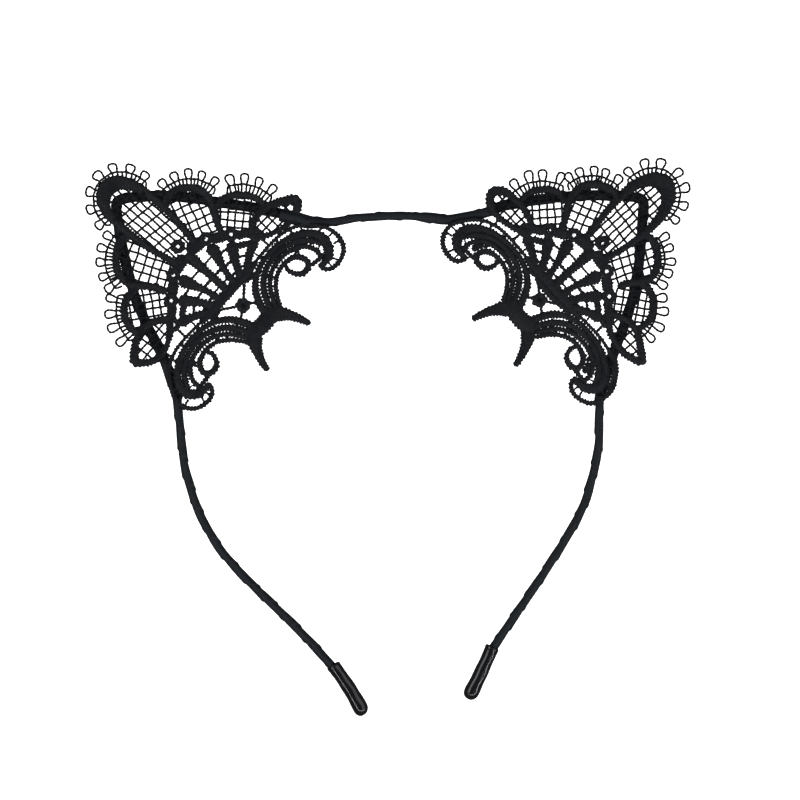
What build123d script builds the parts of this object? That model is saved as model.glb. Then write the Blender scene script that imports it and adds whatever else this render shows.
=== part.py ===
from build123d import *
import os
from math import cos, radians, sin, tan

# Cat-ear headband: one spring-steel wire bent to two ears and two legs, wrapped in satin
# ribbon, with a guipure lace motif stitched on the front of each ear and a soft cap on each
# end.  Millimetres.  The front is -Y, +X is to the right seen from the front, +Z is up.
# The origin is the underside of the crown at its middle.

# ------------------------------------------------------------------ driving dimensions
WIRE_D = 1.5            # spring-steel wire
RIBBON_SLACK = 0.02     # between the wire and the ribbon's inner turn
RIBBON_WALL = 0.47      # two overlapping turns of satin ribbon
FLEX_GAP = 0.6          # clear length of wire and ribbon at each flex line

CAP_LENGTH = 19.3       # soft end cap, mouth to rounded end
CAP_NECK_R = 2.28       # just behind the mouth's rim
CAP_BULB_R = 2.5        # near the rounded end
CAP_RIM_R = 2.45        # the rolled rim round the mouth
CAP_RIM_LENGTH = 1.3
CAP_BORE_SLACK = 0.04   # round the ribbon
CAP_BORE_DEPTH = 14.0
CAP_MOUTH_R = 1.8       # the bore flares to this at the mouth
CAP_FLARE_LENGTH = 2.4
WIRE_IN_CAP = 13.5      # how far the wrapped wire goes into its cap
CAP_BEND_R = 8.0        # the wire's last bend, at the mouth

LACE_BACK = 1.5         # from the wire's centre plane to the back of the lace
CORD_THICKNESS = 1.3    # satin-stitched cords of the lace
NET_THICKNESS = 0.4     # the fine net inside the petals
NET_SETBACK = 0.45      # back of the cords to the back of the net
PICOT_THICKNESS = 0.5   # thread loops along the outer edge
PICOT_THREAD = 0.45
PICOT_WIDTH = 2.6

THREAD_WIDTH = 0.5      # the stitches that hold the lace to the frame
THREAD_DEPTH = 0.35
STITCH_SLACK = 0.06

RUN_SHARE = 0.45        # share of the shorter run that an arc may take

WIRE_R = WIRE_D / 2
RIBBON_BORE_R = WIRE_R + RIBBON_SLACK
RIBBON_R = RIBBON_BORE_R + RIBBON_WALL

# ------------------------------------------------------------------ the bent wire, (x, z)
LEFT_EAR_FLEX = (-29.7, 0.5)      # where the left ear bends away from the crown
LEFT_LEG_FLEX = (-70.2, -59.0)    # where the left leg bends away from the ear
RIGHT_EAR_FLEX = (29.9, 2.3)
RIGHT_LEG_FLEX = (69.2, -59.0)
APEX_R = 2.4                      # the sharp bend at the top of each ear

CROWN = [LEFT_EAR_FLEX, (-25.5, -0.9), (-21, -1.2), (-16.5, -0.5), (-10.5, 0.6), (-1, 1.2),
         (7, 1.1), (13.4, 0.6), (17.5, -0.1), (21.5, 0.1), (25.7, 0.9), RIGHT_EAR_FLEX]
LEFT_EAR = [LEFT_EAR_FLEX, (-38, 2.4), (-48.2, 4.4), (-58, 5.9), (-68, 7.5), (-78, 7.9),
            (-91.1, 7.1), (-89.3, -3.8), (-87.2, -15), (-83.9, -26.6), (-79.1, -37.4),
            (-73.5, -47.8), LEFT_LEG_FLEX]
RIGHT_EAR = [RIGHT_EAR_FLEX, (37, 4.6), (46, 6.0), (58.5, 7.8), (71, 8.0), (84.2, 7.4),
             (83.1, -5), (81.9, -17), (79.7, -28), (76.1, -38.4), (71.8, -48.4),
             RIGHT_LEG_FLEX]
LEFT_LEG = [LEFT_LEG_FLEX, (-69.5, -67.5), (-67.7, -82), (-63.7, -95.5), (-60.2, -102.2),
            (-56.3, -108.7), (-51.2, -114.8), (-45.5, -120.6), (-33.2, -132.4),
            (-24.4, -141.5)]
RIGHT_LEG = [RIGHT_LEG_FLEX, (68.9, -74.5), (67.7, -81.5), (66.3, -87), (64.6, -93),
             (61.4, -99.5), (54, -111.8), (43.6, -127.2), (37.4, -136.6)]
LEFT_CAP_MOUTH = (-18.9, -147.0)
LEFT_CAP_END = (-8.5, -163.5)
RIGHT_CAP_MOUTH = (33.85, -141.0)
RIGHT_CAP_END = (25.7, -158.3)
LEFT_APEX_CORNER = 6              # which point of each ear's route is the apex
RIGHT_APEX_CORNER = 5

# ------------------------------------------------------------------ the lace motif
# One half of the motif, in the ear's own plane: the first number is the distance from the
# ear's middle line, the second the height towards the tip.  The other half mirrors it.
LEFT_LACE_ORIGIN = (-57.3, -20.4)
RIGHT_LACE_ORIGIN = (57.0, -19.7)
LACE_TILT = 42.2                  # the middle line of each ear, degrees above the horizontal

TIP_OUTER = [(-6.2, 16), (-8.2, 27), (-9.2, 37), (-7.4, 46), (-0.9, 50.3), (5.6, 46),
             (8, 37), (7.3, 27), (6.2, 16)]
TIP_INNER = [(-4.1, 14), (-5.6, 27), (-6, 36), (-4.5, 42.5), (-0.8, 44.6), (3.2, 42.5),
             (4.9, 36), (5, 27), (4.2, 14)]
SIDE_PETAL = [(7.2, 30.2), (10.4, 31.1), (14.6, 29.6), (17.9, 26.4), (19.2, 22.5),
              (18.4, 18), (15.4, 13.6), (12.8, 8)]
SIDE_PETAL_WIDTH = 2.5
LOW_PETAL = [(18, 16), (21.6, 16.9), (25, 14.8), (27.7, 11.7), (29.2, 8.2), (28.8, 4.6)]
LOW_PETAL_WIDTH = 2.3
LEAF_OUTER = [(17, 0.6), (24.6, 6.4), (32, 4.8), (39.2, -1.0), (33.5, -5.2), (25, -4.2)]
LEAF_INNER = [(21, 1.1), (25.6, 3.8), (31.4, 2.3), (35.2, -0.8), (30.6, -2.6), (25.5, -1.5)]

NET_PANELS = [
    [(0, 14), (-5, 20), (-6.8, 34), (-5, 43.5), (0, 45.5), (4, 43.5), (5.8, 34), (5, 20)],
    [(8, 14), (13.6, 11), (17.6, 17), (18.6, 23), (14, 29), (8.5, 30)],
    [(15.5, 4), (28, 4), (28, 9), (24, 15), (18.4, 16.4), (14.8, 12)],
    [(19, 1), (25, 4.8), (31.5, 3.4), (36.6, -0.9), (31, -3.6), (25.5, -2.6)],
]

SPOKES = [((0, 17.2), (0, -5)), ((8, 11.5), (3.4, -5)), ((14.6, 6.2), (6.4, -5)),
          ((20, 0.4), (9, -5.4))]
SPOKE_WIDTH = 2.3
BULB_R = 2.3
EYELET_R = 0.45
RUNG_SHARES = (0.36, 0.6, 0.82)   # how far down the spokes the rungs join them
RUNG_WIDTH = 0.9
BASE_PLATE = [(-15, -5.2), (-8, -3.6), (8, -3.6), (15, -5.2), (11, -8.6), (5, -7),
              (-5, -7), (-11, -8.6)]

SCROLL = [(5.4, -19), (4.3, -16), (8, -10), (15, -5.8), (23, -4.9), (30.5, -7.6), (35, -13.6),
          (34.4, -20), (30, -22.8), (26, -21.9), (26.4, -19.5), (30, -18.4), (30.4, -15.4),
          (27, -12.4), (20, -12.1), (13.2, -14.7), (8.2, -20.2)]
TEARDROP = [(18, -14.2), (21, -12.9), (24.6, -15), (24.4, -18.7), (21, -19.2), (18.6, -17.2)]
TEARDROP_WIDTH = 1.7
CURL = [(33.6, -12), (37.7, -14.8), (38.3, -20.6), (35, -24.6), (30, -25.2), (26.7, -22.6),
        (26.6, -19.6)]
CURL_WIDTH = 1.3

ROSETTE_CENTRE = (0.1, -11.8)
ROSETTE_R = 2.4
ROSETTE_ARMS = [(6.6, -7.2), (5, -15.8), (-5, -15.8), (-6.6, -7.2)]
ROSETTE_ARM_WIDTH = 1.2
HORNS = [(-8.6, -18.4), (-5, -16.6), (5, -16.6), (8.6, -18.4), (8.8, -24), (11.5, -32),
         (9.2, -32.9), (6.6, -26.6), (3.4, -23.9), (0, -23.2), (-3.4, -23.9), (-6.6, -26.6),
         (-9.2, -32.9), (-11.5, -32), (-8.8, -24)]

# Picots stand round each petal: centre, inner and outer distance, first and last angle, count
TIP_PICOTS = ((-0.8, 38.5), 9.0, 14.6, 5, 175, 7)
SIDE_PICOTS = ((10.2, 21.3), 9.8, 15.9, 8, 82, 5)
LOW_PICOTS = ((18.8, 6.5), 10.4, 17.2, 4, 58, 4)

# Stitches along each ear's wire, as shares of its length
LEFT_STITCHES = (0.045, 0.13, 0.22, 0.31, 0.4, 0.52, 0.625, 0.695, 0.76, 0.84, 0.9)
RIGHT_STITCHES = (0.05, 0.14, 0.23, 0.31, 0.38, 0.5, 0.58, 0.66, 0.75, 0.83, 0.9)


# ------------------------------------------------------------------ outlines and paths
def corner_radius(before, corner, after):
    """The largest tangent arc at a corner that leaves both of its runs some straight length."""
    run_in = Vector(*corner) - Vector(*before)
    run_out = Vector(*after) - Vector(*corner)
    turn = run_in.get_angle(run_out)
    return RUN_SHARE * min(run_in.length, run_out.length) / tan(radians(turn / 2))


def bend_radii(points, tight):
    """Each inner corner's arc; tight maps a corner's place in the list to its own radius."""
    return [tight.get(i, corner_radius(*points[i - 1:i + 2])) for i in range(1, len(points) - 1)]


def smooth_line(points, tight={}):
    """Straight runs joined by tangent arcs, open at both ends."""
    return FilletPolyline(*points, radius=bend_radii(points, tight))


def smooth_ring(points):
    """The same, closed."""
    count = len(points)
    radii = [corner_radius(points[i - 1], points[i], points[(i + 1) % count])
             for i in range(count)]
    return FilletPolyline(*points, radius=radii, close=True)


def patch(points):
    """A face inside a smooth closed outline."""
    return make_face(smooth_ring(points).edges())


def both_sides(draw):
    """What draw makes on one side of the middle line, and its mirror image on the other."""
    return draw(1) + draw(-1)


def sided(points, side):
    return [(side * x, y) for x, y in points]


# ------------------------------------------------------------------ the lace, drawn flat
def petals():
    """The satin-stitched edges of the tip, the side and low petals and the pointed leaves."""
    tip = patch(TIP_OUTER) - patch(TIP_INNER)

    def side_petals(side):
        leaf = patch(sided(LEAF_OUTER, side)) - patch(sided(LEAF_INNER, side))
        upper = trace(smooth_line(sided(SIDE_PETAL, side)), SIDE_PETAL_WIDTH)
        lower = trace(smooth_line(sided(LOW_PETAL, side)), LOW_PETAL_WIDTH)
        return upper + lower + leaf

    return tip + both_sides(side_petals)


def net():
    """The panels of fine net that fill the petals."""
    panels = patch(NET_PANELS[0])
    for outline in NET_PANELS[1:]:
        panels += patch(outline) + patch(sided(outline, -1))
    return panels


def point_on(line, share):
    (x0, y0), (x1, y1) = line
    return (x0 + share * (x1 - x0), y0 + share * (y1 - y0))


def fan():
    """Seven bulb-headed spokes, the rungs between them and the plate they stand on."""
    lines = SPOKES + [tuple(sided(line, -1)) for line in SPOKES[1:]]
    shape = patch(BASE_PLATE)
    for line in lines:
        shape += trace(Polyline(*line), SPOKE_WIDTH) + Pos(*line[0]) * Circle(BULB_R)
    for side in (1, -1):
        for inner, outer in zip(SPOKES, SPOKES[1:]):
            for share in RUNG_SHARES:
                ends = sided([point_on(inner, share), point_on(outer, share)], side)
                shape += trace(Polyline(*ends), RUNG_WIDTH)
    for line in lines:
        shape -= Pos(*line[0]) * Circle(EYELET_R)
    return shape


def picot_row(centre, inner_r, outer_r, first, last, count, side):
    """Thread loops that stand out from a petal, evenly spaced round its centre."""
    length = outer_r - inner_r
    loop = (SlotOverall(length, PICOT_WIDTH)
            - SlotOverall(length - 2 * PICOT_THREAD, PICOT_WIDTH - 2 * PICOT_THREAD))
    row = Sketch()
    for i in range(count):
        angle = first + (last - first) * i / (count - 1)
        reach = (inner_r + outer_r) / 2
        x = side * (centre[0] + reach * cos(radians(angle)))
        y = centre[1] + reach * sin(radians(angle))
        row += Pos(x, y) * Rot(0, 0, side * angle) * loop
    return row


def picots():
    row = picot_row(*TIP_PICOTS, 1)
    for side in (1, -1):
        row += picot_row(*SIDE_PICOTS, side) + picot_row(*LOW_PICOTS, side)
    return row


def scrolls():
    """The broad arched scroll on each side and the teardrop loop inside it."""
    def one_side(side):
        loop = trace(smooth_ring(sided(TEARDROP, side)), TEARDROP_WIDTH)
        return patch(sided(SCROLL, side)) + loop
    return both_sides(one_side)


def curls():
    """The thin beaded loop round the outer end of each scroll."""
    return both_sides(lambda side: trace(smooth_line(sided(CURL, side)), CURL_WIDTH))


def rosette():
    """The small star that spans the hole between the fan and the horns."""
    shape = Pos(*ROSETTE_CENTRE) * Circle(ROSETTE_R)
    for end in ROSETTE_ARMS:
        shape += trace(Polyline(ROSETTE_CENTRE, end), ROSETTE_ARM_WIDTH)
    return shape


def horns():
    """The block under the rosette and its two tapering horns."""
    return patch(HORNS)


LACE = {
    "lace_petals": (petals, 0, CORD_THICKNESS),
    "lace_net": (net, NET_SETBACK, NET_THICKNESS),
    "lace_fan": (fan, 0, CORD_THICKNESS),
    "lace_picots": (picots, NET_SETBACK, PICOT_THICKNESS),
    "lace_scrolls": (scrolls, 0, CORD_THICKNESS),
    "lace_curls": (curls, 0, CORD_THICKNESS),
    "lace_rosette": (rosette, 0, CORD_THICKNESS),
    "lace_horns": (horns, 0, CORD_THICKNESS),
}


def lace_plane(origin, side):
    """The ear's own plane, its height axis along the ear's middle line; side is -1 on the left."""
    across = (cos(radians(90 - LACE_TILT)), 0, -side * sin(radians(90 - LACE_TILT)))
    return Plane(origin=(origin[0], 0, origin[1]), x_dir=across, z_dir=(0, -1, 0))


# ------------------------------------------------------------------ wire, ribbon and caps
def in_plane(points):
    """Points of the wire's centre line, which lies in the plane y = 0."""
    return [(x, 0, z) for x, z in points]


def moved_towards(start, target, distance):
    run = Vector(*target) - Vector(*start)
    end = Vector(*start) + run.normalized() * distance
    return (end.X, end.Y)


def trimmed(points, first_gap, last_gap):
    """The route with its first and last points moved along their runs to leave a flex gap."""
    route = list(points)
    route[0] = moved_towards(points[0], points[1], first_gap)
    route[-1] = moved_towards(points[-1], points[-2], last_gap)
    return route


def wire_along(path):
    return sweep(Plane(path @ 0, z_dir=path % 0) * Circle(WIRE_R), path=path)


def ribbon_along(path):
    section = Circle(RIBBON_R) - Circle(RIBBON_BORE_R)
    return sweep(Plane(path @ 0, z_dir=path % 0) * section, path=path)


def end_cap(mouth, end):
    """A blind moulded sleeve: a rolled rim, a slim neck and a fuller rounded end."""
    bore_r = RIBBON_R + CAP_BORE_SLACK
    rim_end = CAP_RIM_LENGTH + (CAP_RIM_R - CAP_NECK_R)
    bulb_start = CAP_LENGTH - 2 * CAP_BULB_R
    outside = FilletPolyline((CAP_MOUTH_R, 0), (CAP_RIM_R, 0), (CAP_RIM_R, CAP_RIM_LENGTH),
                             (CAP_NECK_R, rim_end), (CAP_BULB_R, bulb_start),
                             (CAP_BULB_R, CAP_LENGTH), (0, CAP_LENGTH),
                             radius=(0.4, 0.15, 0.15, 20, CAP_BULB_R - 0.15))
    inside = Polyline((0, CAP_LENGTH), (0, CAP_BORE_DEPTH), (bore_r, CAP_BORE_DEPTH),
                      (bore_r, CAP_FLARE_LENGTH), (CAP_MOUTH_R, 0))
    profile = Plane.XZ * make_face(outside.edges() + inside.edges())
    cap = revolve(profile, axis=Axis.Z)
    along = Vector(end[0] - mouth[0], 0, end[1] - mouth[1])
    return Plane(origin=(mouth[0], 0, mouth[1]), z_dir=along) * cap


def stitches(path, shares):
    """Thread loops that go round the wrapped wire and over the front of the lace."""
    front = LACE_BACK + CORD_THICKNESS + STITCH_SLACK
    back = RIBBON_R + STITCH_SLACK
    depth = front + back
    width = 2 * (RIBBON_R + STITCH_SLACK)
    hole = RectangleRounded(depth, width, width / 2.4)
    band = RectangleRounded(depth + 2 * THREAD_DEPTH, width + 2 * THREAD_DEPTH,
                            width / 2.4 + THREAD_DEPTH) - hole
    group = []
    for share in shares:
        middle = path.position_at(share)
        plane = Plane(origin=middle, x_dir=(0, -1, 0), z_dir=path.tangent_at(share))
        loop = plane * (Pos((front - back) / 2, 0) * band)
        group.append(extrude(loop, amount=THREAD_WIDTH / 2, both=True))
    return Compound(children=group)


def build():
    nodes = {}
    half_gap = FLEX_GAP / 2
    in_cap_left = moved_towards(LEFT_CAP_MOUTH, LEFT_CAP_END, WIRE_IN_CAP)
    in_cap_right = moved_towards(RIGHT_CAP_MOUTH, RIGHT_CAP_END, WIRE_IN_CAP)
    routes = {
        "crown": (trimmed(CROWN, half_gap, half_gap), {}),
        "left_ear": (trimmed(LEFT_EAR, half_gap, half_gap), {LEFT_APEX_CORNER: APEX_R}),
        "right_ear": (trimmed(RIGHT_EAR, half_gap, half_gap), {RIGHT_APEX_CORNER: APEX_R}),
        "left_leg": (trimmed(LEFT_LEG + [LEFT_CAP_MOUTH, in_cap_left], half_gap, 0),
                     {len(LEFT_LEG): CAP_BEND_R}),
        "right_leg": (trimmed(RIGHT_LEG + [RIGHT_CAP_MOUTH, in_cap_right], half_gap, 0),
                      {len(RIGHT_LEG): CAP_BEND_R}),
    }
    paths = {}
    for name, (points, tight) in routes.items():
        paths[name] = smooth_line(in_plane(points), tight)
        nodes[name + "_wire"] = wire_along(paths[name])
        nodes[name + "_ribbon"] = ribbon_along(paths[name])
        print(name, "length", round(paths[name].length, 1), "bend radii",
              [round(radius, 1) for radius in bend_radii(points, tight)])

    nodes["left_end_cap"] = end_cap(LEFT_CAP_MOUTH, LEFT_CAP_END)
    nodes["right_end_cap"] = end_cap(RIGHT_CAP_MOUTH, RIGHT_CAP_END)

    for word, origin, side in (("left", LEFT_LACE_ORIGIN, -1), ("right", RIGHT_LACE_ORIGIN, 1)):
        plane = lace_plane(origin, side)
        for name, (draw, setback, thickness) in LACE.items():
            shape = draw() if side < 0 else mirror(draw(), about=Plane.YZ)
            nodes[f"{word}_{name}"] = extrude(plane.offset(LACE_BACK + setback) * shape,
                                              amount=thickness)
    nodes["left_stitches"] = stitches(paths["left_ear"], LEFT_STITCHES)
    nodes["right_stitches"] = stitches(paths["right_ear"], RIGHT_STITCHES)
    return nodes


os.makedirs("parts", exist_ok=True)
for node, shape in build().items():
    export_step(shape, f"parts/{node}.step")
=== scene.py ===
"""Cat-ear headband: a spring wire wrapped in satin ribbon, a guipure lace motif on each ear,
the stitches that hold it, and a dipped vinyl cap on each end of the wire.

Lengths inside the shape functions are millimetres; they become metres when a mesh is made.
"""

import math

import bpy
import numpy as np
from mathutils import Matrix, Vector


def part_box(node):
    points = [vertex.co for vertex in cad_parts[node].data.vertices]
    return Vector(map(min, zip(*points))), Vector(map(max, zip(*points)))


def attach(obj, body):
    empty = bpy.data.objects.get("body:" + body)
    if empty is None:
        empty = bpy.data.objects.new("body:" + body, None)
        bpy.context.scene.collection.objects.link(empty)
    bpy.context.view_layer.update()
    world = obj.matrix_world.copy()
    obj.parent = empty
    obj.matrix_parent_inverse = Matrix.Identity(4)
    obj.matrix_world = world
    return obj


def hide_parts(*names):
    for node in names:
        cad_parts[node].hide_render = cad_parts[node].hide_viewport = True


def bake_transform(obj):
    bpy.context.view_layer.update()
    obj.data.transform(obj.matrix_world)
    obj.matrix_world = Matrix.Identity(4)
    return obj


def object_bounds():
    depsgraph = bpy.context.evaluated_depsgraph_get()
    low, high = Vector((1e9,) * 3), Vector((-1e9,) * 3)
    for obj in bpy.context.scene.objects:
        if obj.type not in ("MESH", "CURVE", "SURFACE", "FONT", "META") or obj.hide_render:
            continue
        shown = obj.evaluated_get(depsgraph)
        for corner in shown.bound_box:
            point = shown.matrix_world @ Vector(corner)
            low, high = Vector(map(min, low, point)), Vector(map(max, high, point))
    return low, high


bl_info = {
    "name": "Cat-ear headband",
    "version": (1, 0, 0),
    "blender": (4, 5, 0),
    "location": "3D View > Sidebar > Headband",
    "description": "Builds a ribbon-wrapped wire headband with guipure lace cat ears",
    "category": "Add Mesh",
}

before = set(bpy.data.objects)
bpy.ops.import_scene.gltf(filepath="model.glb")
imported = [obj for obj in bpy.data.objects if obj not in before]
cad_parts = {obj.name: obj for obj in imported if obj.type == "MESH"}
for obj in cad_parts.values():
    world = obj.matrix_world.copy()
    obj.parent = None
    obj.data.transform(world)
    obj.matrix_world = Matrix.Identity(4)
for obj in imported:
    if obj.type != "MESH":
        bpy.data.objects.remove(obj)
CAD_BOX = [list(corner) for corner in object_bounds()]

MM = 0.001
SIDES = ("left", "right")
FRONT = np.array([0.0, -1.0, 0.0])
SEED = 20
RIGHT_EAR_SEED = 50        # added on the right, so that the two ears' threads differ

# ---------------------------------------------------------------- the wire's centre line, (x, z)
CROWN_ROUTE = [(-29.7, 0.5), (-25.5, -0.9), (-21, -1.2), (-16.5, -0.5), (-10.5, 0.6), (-1, 1.2),
               (7, 1.1), (13.4, 0.6), (17.5, -0.1), (21.5, 0.1), (25.7, 0.9), (29.9, 2.3)]
EAR_ROUTE = {
    "left": [(-29.7, 0.5), (-38, 2.4), (-48.2, 4.4), (-58, 5.9), (-68, 7.5), (-78, 7.9),
             (-86.4, 7.2), (-90.5, 6.3), (-90.1, 2.0), (-89.3, -3.8), (-87.2, -15),
             (-83.9, -26.6), (-79.1, -37.4), (-73.5, -47.8), (-70.2, -59.0)],
    "right": [(29.9, 2.3), (37, 4.6), (46, 6.0), (58.5, 7.8), (71, 8.0), (79.2, 7.6),
              (83.7, 6.9), (83.5, 2.5), (83.1, -5), (81.9, -17), (79.7, -28), (76.1, -38.4),
              (71.8, -48.4), (69.2, -59.0)],
}
LEG_ROUTE = {
    "left": [(-70.2, -59.0), (-69.5, -67.5), (-68.6, -75), (-67.7, -82), (-65.7, -89),
             (-63.7, -95.5), (-60.2, -102.2), (-56.3, -108.7), (-51.2, -114.8), (-45.5, -120.6),
             (-39.0, -126.7), (-33.2, -132.4), (-26.8, -139.0), (-21.5, -144.6), (-18.5, -148),
             (-12.5, -157.5)],
    "right": [(69.2, -59.0), (69.0, -67), (68.9, -74.5), (67.7, -81.5), (66.3, -87),
              (64.6, -93), (61.4, -99.5), (57.9, -105.6), (54.0, -111.8), (48.9, -119.5),
              (43.6, -127.2), (38.6, -134.8), (34.2, -141), (33.2, -142.6), (28.6, -152.5)],
}
CAP_ENDS = {"left": ((-18.9, -147.0), (-8.5, -163.5)), "right": ((33.85, -141.0), (25.7, -158.3))}

# ---------------------------------------------------------------- the lace, (across, up) in each ear
# Across is 0 on the ear's middle line and grows towards the crown; up grows towards the tip.
EAR_TILT = math.radians(42.2)
ROSETTE_IN_EAR = {"left": (0.07, -10.4), "right": (0.74, -11.56)}

# The third number of a point is the cord's half width there.
TIP_PETAL = {
    "left": [(-4.4, 13.4, 1.3), (-5.5, 18, 1.2), (-6.5, 22.5, 1.2), (-7.1, 27, 1.25),
             (-7.7, 32, 1.45), (-7.7, 37, 1.6), (-7.5, 41, 1.8), (-6.2, 44.2, 2.1),
             (-4, 46.3, 2.6), (-0.9, 47.1, 2.9), (2.1, 45.9, 2.6), (4.2, 43.1, 2.2),
             (5.5, 39.4, 1.8), (6.2, 35, 1.5), (6.4, 30, 1.4), (6.2, 25, 1.3), (5.7, 20, 1.25),
             (4.6, 13.8, 1.3)],
    "right": [(-3.6, 13, 1.3), (-4.8, 18, 1.2), (-5.6, 22.5, 1.2), (-6.1, 27, 1.25),
              (-6.2, 32, 1.5), (-5.7, 36.5, 1.8), (-4.5, 40, 2.1), (-2.2, 43.2, 2.6),
              (1.2, 44.8, 2.9), (4.5, 43.3, 2.6), (6.8, 40, 2.1), (7.8, 36, 1.8), (8, 31, 1.5),
              (7.6, 26, 1.3), (6.9, 21, 1.25), (5.6, 13.4, 1.3)],
}
SIDE_PETAL = {
    ("left", 1): [(6.6, 28.6, 1.2), (8.6, 30.2, 1.3), (11.4, 30.6, 1.35), (14.4, 29.5, 1.4),
                  (17.2, 26.9, 1.45), (18.7, 23.5, 1.4), (18.6, 20, 1.4), (17.3, 16.9, 1.4),
                  (15.3, 13.9, 1.35), (13.6, 11, 1.2), (12.8, 8.4, 1.2)],
    ("left", -1): [(7.2, 30.4, 1.3), (10, 32.1, 1.4), (13, 31.8, 1.4), (16.3, 29.8, 1.4),
                   (18.9, 26.9, 1.4), (20.1, 23.6, 1.35), (19.8, 20.6, 1.3), (18.3, 18, 1.3),
                   (16.2, 15.4, 1.3), (14.6, 12.5, 1.4), (13.6, 9.6, 1.4)],
    ("right", 1): [(7.8, 30.2, 1.3), (10.5, 30.6, 1.35), (14, 29.4, 1.4), (17, 27.1, 1.4),
                   (18.8, 24.2, 1.4), (19.1, 20.8, 1.4), (18.1, 17.6, 1.35), (16.2, 14.7, 1.3),
                   (14.3, 12, 1.25), (13, 9, 1.25)],
    ("right", -1): [(6.2, 28.6, 1.3), (9, 29.3, 1.35), (12.5, 28.5, 1.4), (15.6, 26.4, 1.4),
                    (17.8, 23.5, 1.35), (18.4, 20, 1.3), (17, 17, 1.3), (15, 14.2, 1.3),
                    (13.4, 10.8, 1.3)],
}
LOW_PETAL = {
    ("left", 1): [(17.6, 15.8, 1.3), (20.2, 16.7, 1.3), (23.3, 15.9, 1.3), (26.4, 13.2, 1.3),
                  (28.6, 9.8, 1.3), (29.2, 6.6, 1.2), (28.6, 4.2, 1.1)],
    ("left", -1): [(18.6, 17.6, 1.3), (21.8, 18.3, 1.35), (25.4, 17.5, 1.35), (28.4, 15.1, 1.35),
                   (29.9, 12, 1.3), (30.2, 8.8, 1.3), (29.2, 6, 1.2)],
    ("right", 1): [(18.6, 16, 1.3), (21.5, 17, 1.3), (24.8, 15.8, 1.3), (27.4, 13.2, 1.3),
                   (29, 10, 1.25), (29.2, 5, 1.1)],
    ("right", -1): [(17.2, 16.8, 1.3), (20.5, 17.6, 1.3), (24, 16.6, 1.3), (27, 13.8, 1.3),
                    (28.6, 10.5, 1.25), (28.2, 5.6, 1.1)],
}
LEAF = {
    ("left", 1): [(19.4, 1.4, 1.4), (22, 3.7, 1.35), (25.5, 4.7, 1.3), (29.5, 4.1, 1.35),
                  (33.3, 2.1, 1.5), (36.6, -0.4, 1.75), (37.1, -2.2, 1.75), (34.6, -4.0, 1.45),
                  (31, -4.7, 1.2), (27, -4.1, 1.0), (23.6, -2.8, 0.95), (20.8, -0.9, 1.2)],
    ("left", -1): [(20.3, 3.2, 1.4), (22.6, 5.7, 1.3), (26, 7.2, 1.25), (30, 7.1, 1.3),
                   (34, 5.3, 1.35), (37.2, 2.3, 1.7), (35.8, -0.4, 1.3), (32.4, -2.6, 1.2),
                   (28.6, -2.8, 1.05), (25.2, -1.4, 1.0), (22.3, 0.3, 1.3)],
    ("right", 1): [(19.4, 1.6, 1.3), (22, 3.8, 1.2), (26, 4.9, 1.2), (30.5, 4.9, 1.3),
                   (34.6, 4.1, 1.5), (37.2, 1.6, 1.7), (36.2, -1.2, 1.5), (33.4, -2.8, 1.25),
                   (29.6, -2.9, 1.1), (25.5, -2.1, 1.05), (22, -0.8, 1.2)],
    ("right", -1): [(18.8, 2.4, 1.3), (21.5, 4.6, 1.25), (25, 5.6, 1.25), (29, 5.2, 1.3),
                    (33, 2.8, 1.4), (36.6, 0.1, 1.5), (34, -1.7, 1.3), (30, -2.6, 1.2),
                    (26, -2.2, 1.1), (22, -0.8, 1.2)],
}
SPOKES = [
    [(0.1, 13.6, 2.0), (0.1, 10, 2.0), (0.1, 7, 1.65), (0.2, 2.5, 1.4), (0.2, -6, 1.6)],
    [(7.9, 9.6, 2.7), (7.1, 8, 2.35), (5.8, 4.2, 1.65), (4.5, 0, 1.15), (3.5, -5.6, 1.5)],
    [(13.2, 5.2, 2.3), (12.1, 3.8, 2.25), (10.1, 1.4, 1.75), (8.2, -1.6, 1.4), (6.4, -5.6, 1.6)],
    [(18.6, 0.2, 1.9), (17.2, -0.6, 2.0), (14, -2.1, 1.45), (11, -3.9, 1.4), (8.4, -5.8, 1.5)],
]
BULBS = [(0, 17.1), (8, 11.9), (14.7, 6.8), (20.1, 0.9)]
BULB_RADIUS = 2.5
EYELET_RADIUS = 0.48
RIM = [[(0.4, 13.2, 2.25), (3.8, 12.9, 2.2), (7.2, 11.8, 2.0)],
       [(8.6, 10.8, 1.9), (11.2, 9.2, 1.9), (13.8, 7.2, 1.8)],
       [(15, 5.4, 1.7), (17.8, 3.8, 1.6), (20, 1.8, 1.6)]]
RUNGS = [[(0.8, 6.6, 0.4), (6.4, 6.7, 0.4)], [(0.8, 1.7, 0.6), (5.2, 1.7, 0.6)],
         [(0.8, -1.9, 0.4), (4.3, -2.1, 0.4)], [(6.4, 5.4, 0.5), (11.6, 4.4, 0.5)],
         [(5.2, 1.2, 0.55), (9.6, 0.8, 0.55)], [(4.4, -2.5, 0.6), (8, -2.8, 0.6)],
         [(12.8, 2.9, 1.2), (16.6, 0.5, 1.2)], [(9.8, 0.8, 0.5), (13.4, -1.8, 0.5)],
         [(7.8, -2.3, 0.5), (10.8, -3.6, 0.5)]]
BASE_CORNER = [(5.6, -7, 0.6), (8.2, -7.4, 0.9), (10.6, -7.3, 0.9)]
RIGHT_BASE_CORD = [(-7.4, -7.6, 0.9), (-0.5, -7.9, 1.2), (6.4, -7.6, 0.9)]
BASE_PLATE = [(-14, -5.4, 1.0), (-8, -5.4, 1.7), (0, -5.2, 1.9), (8, -5.4, 1.7), (14, -5.4, 1.0)]
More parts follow.
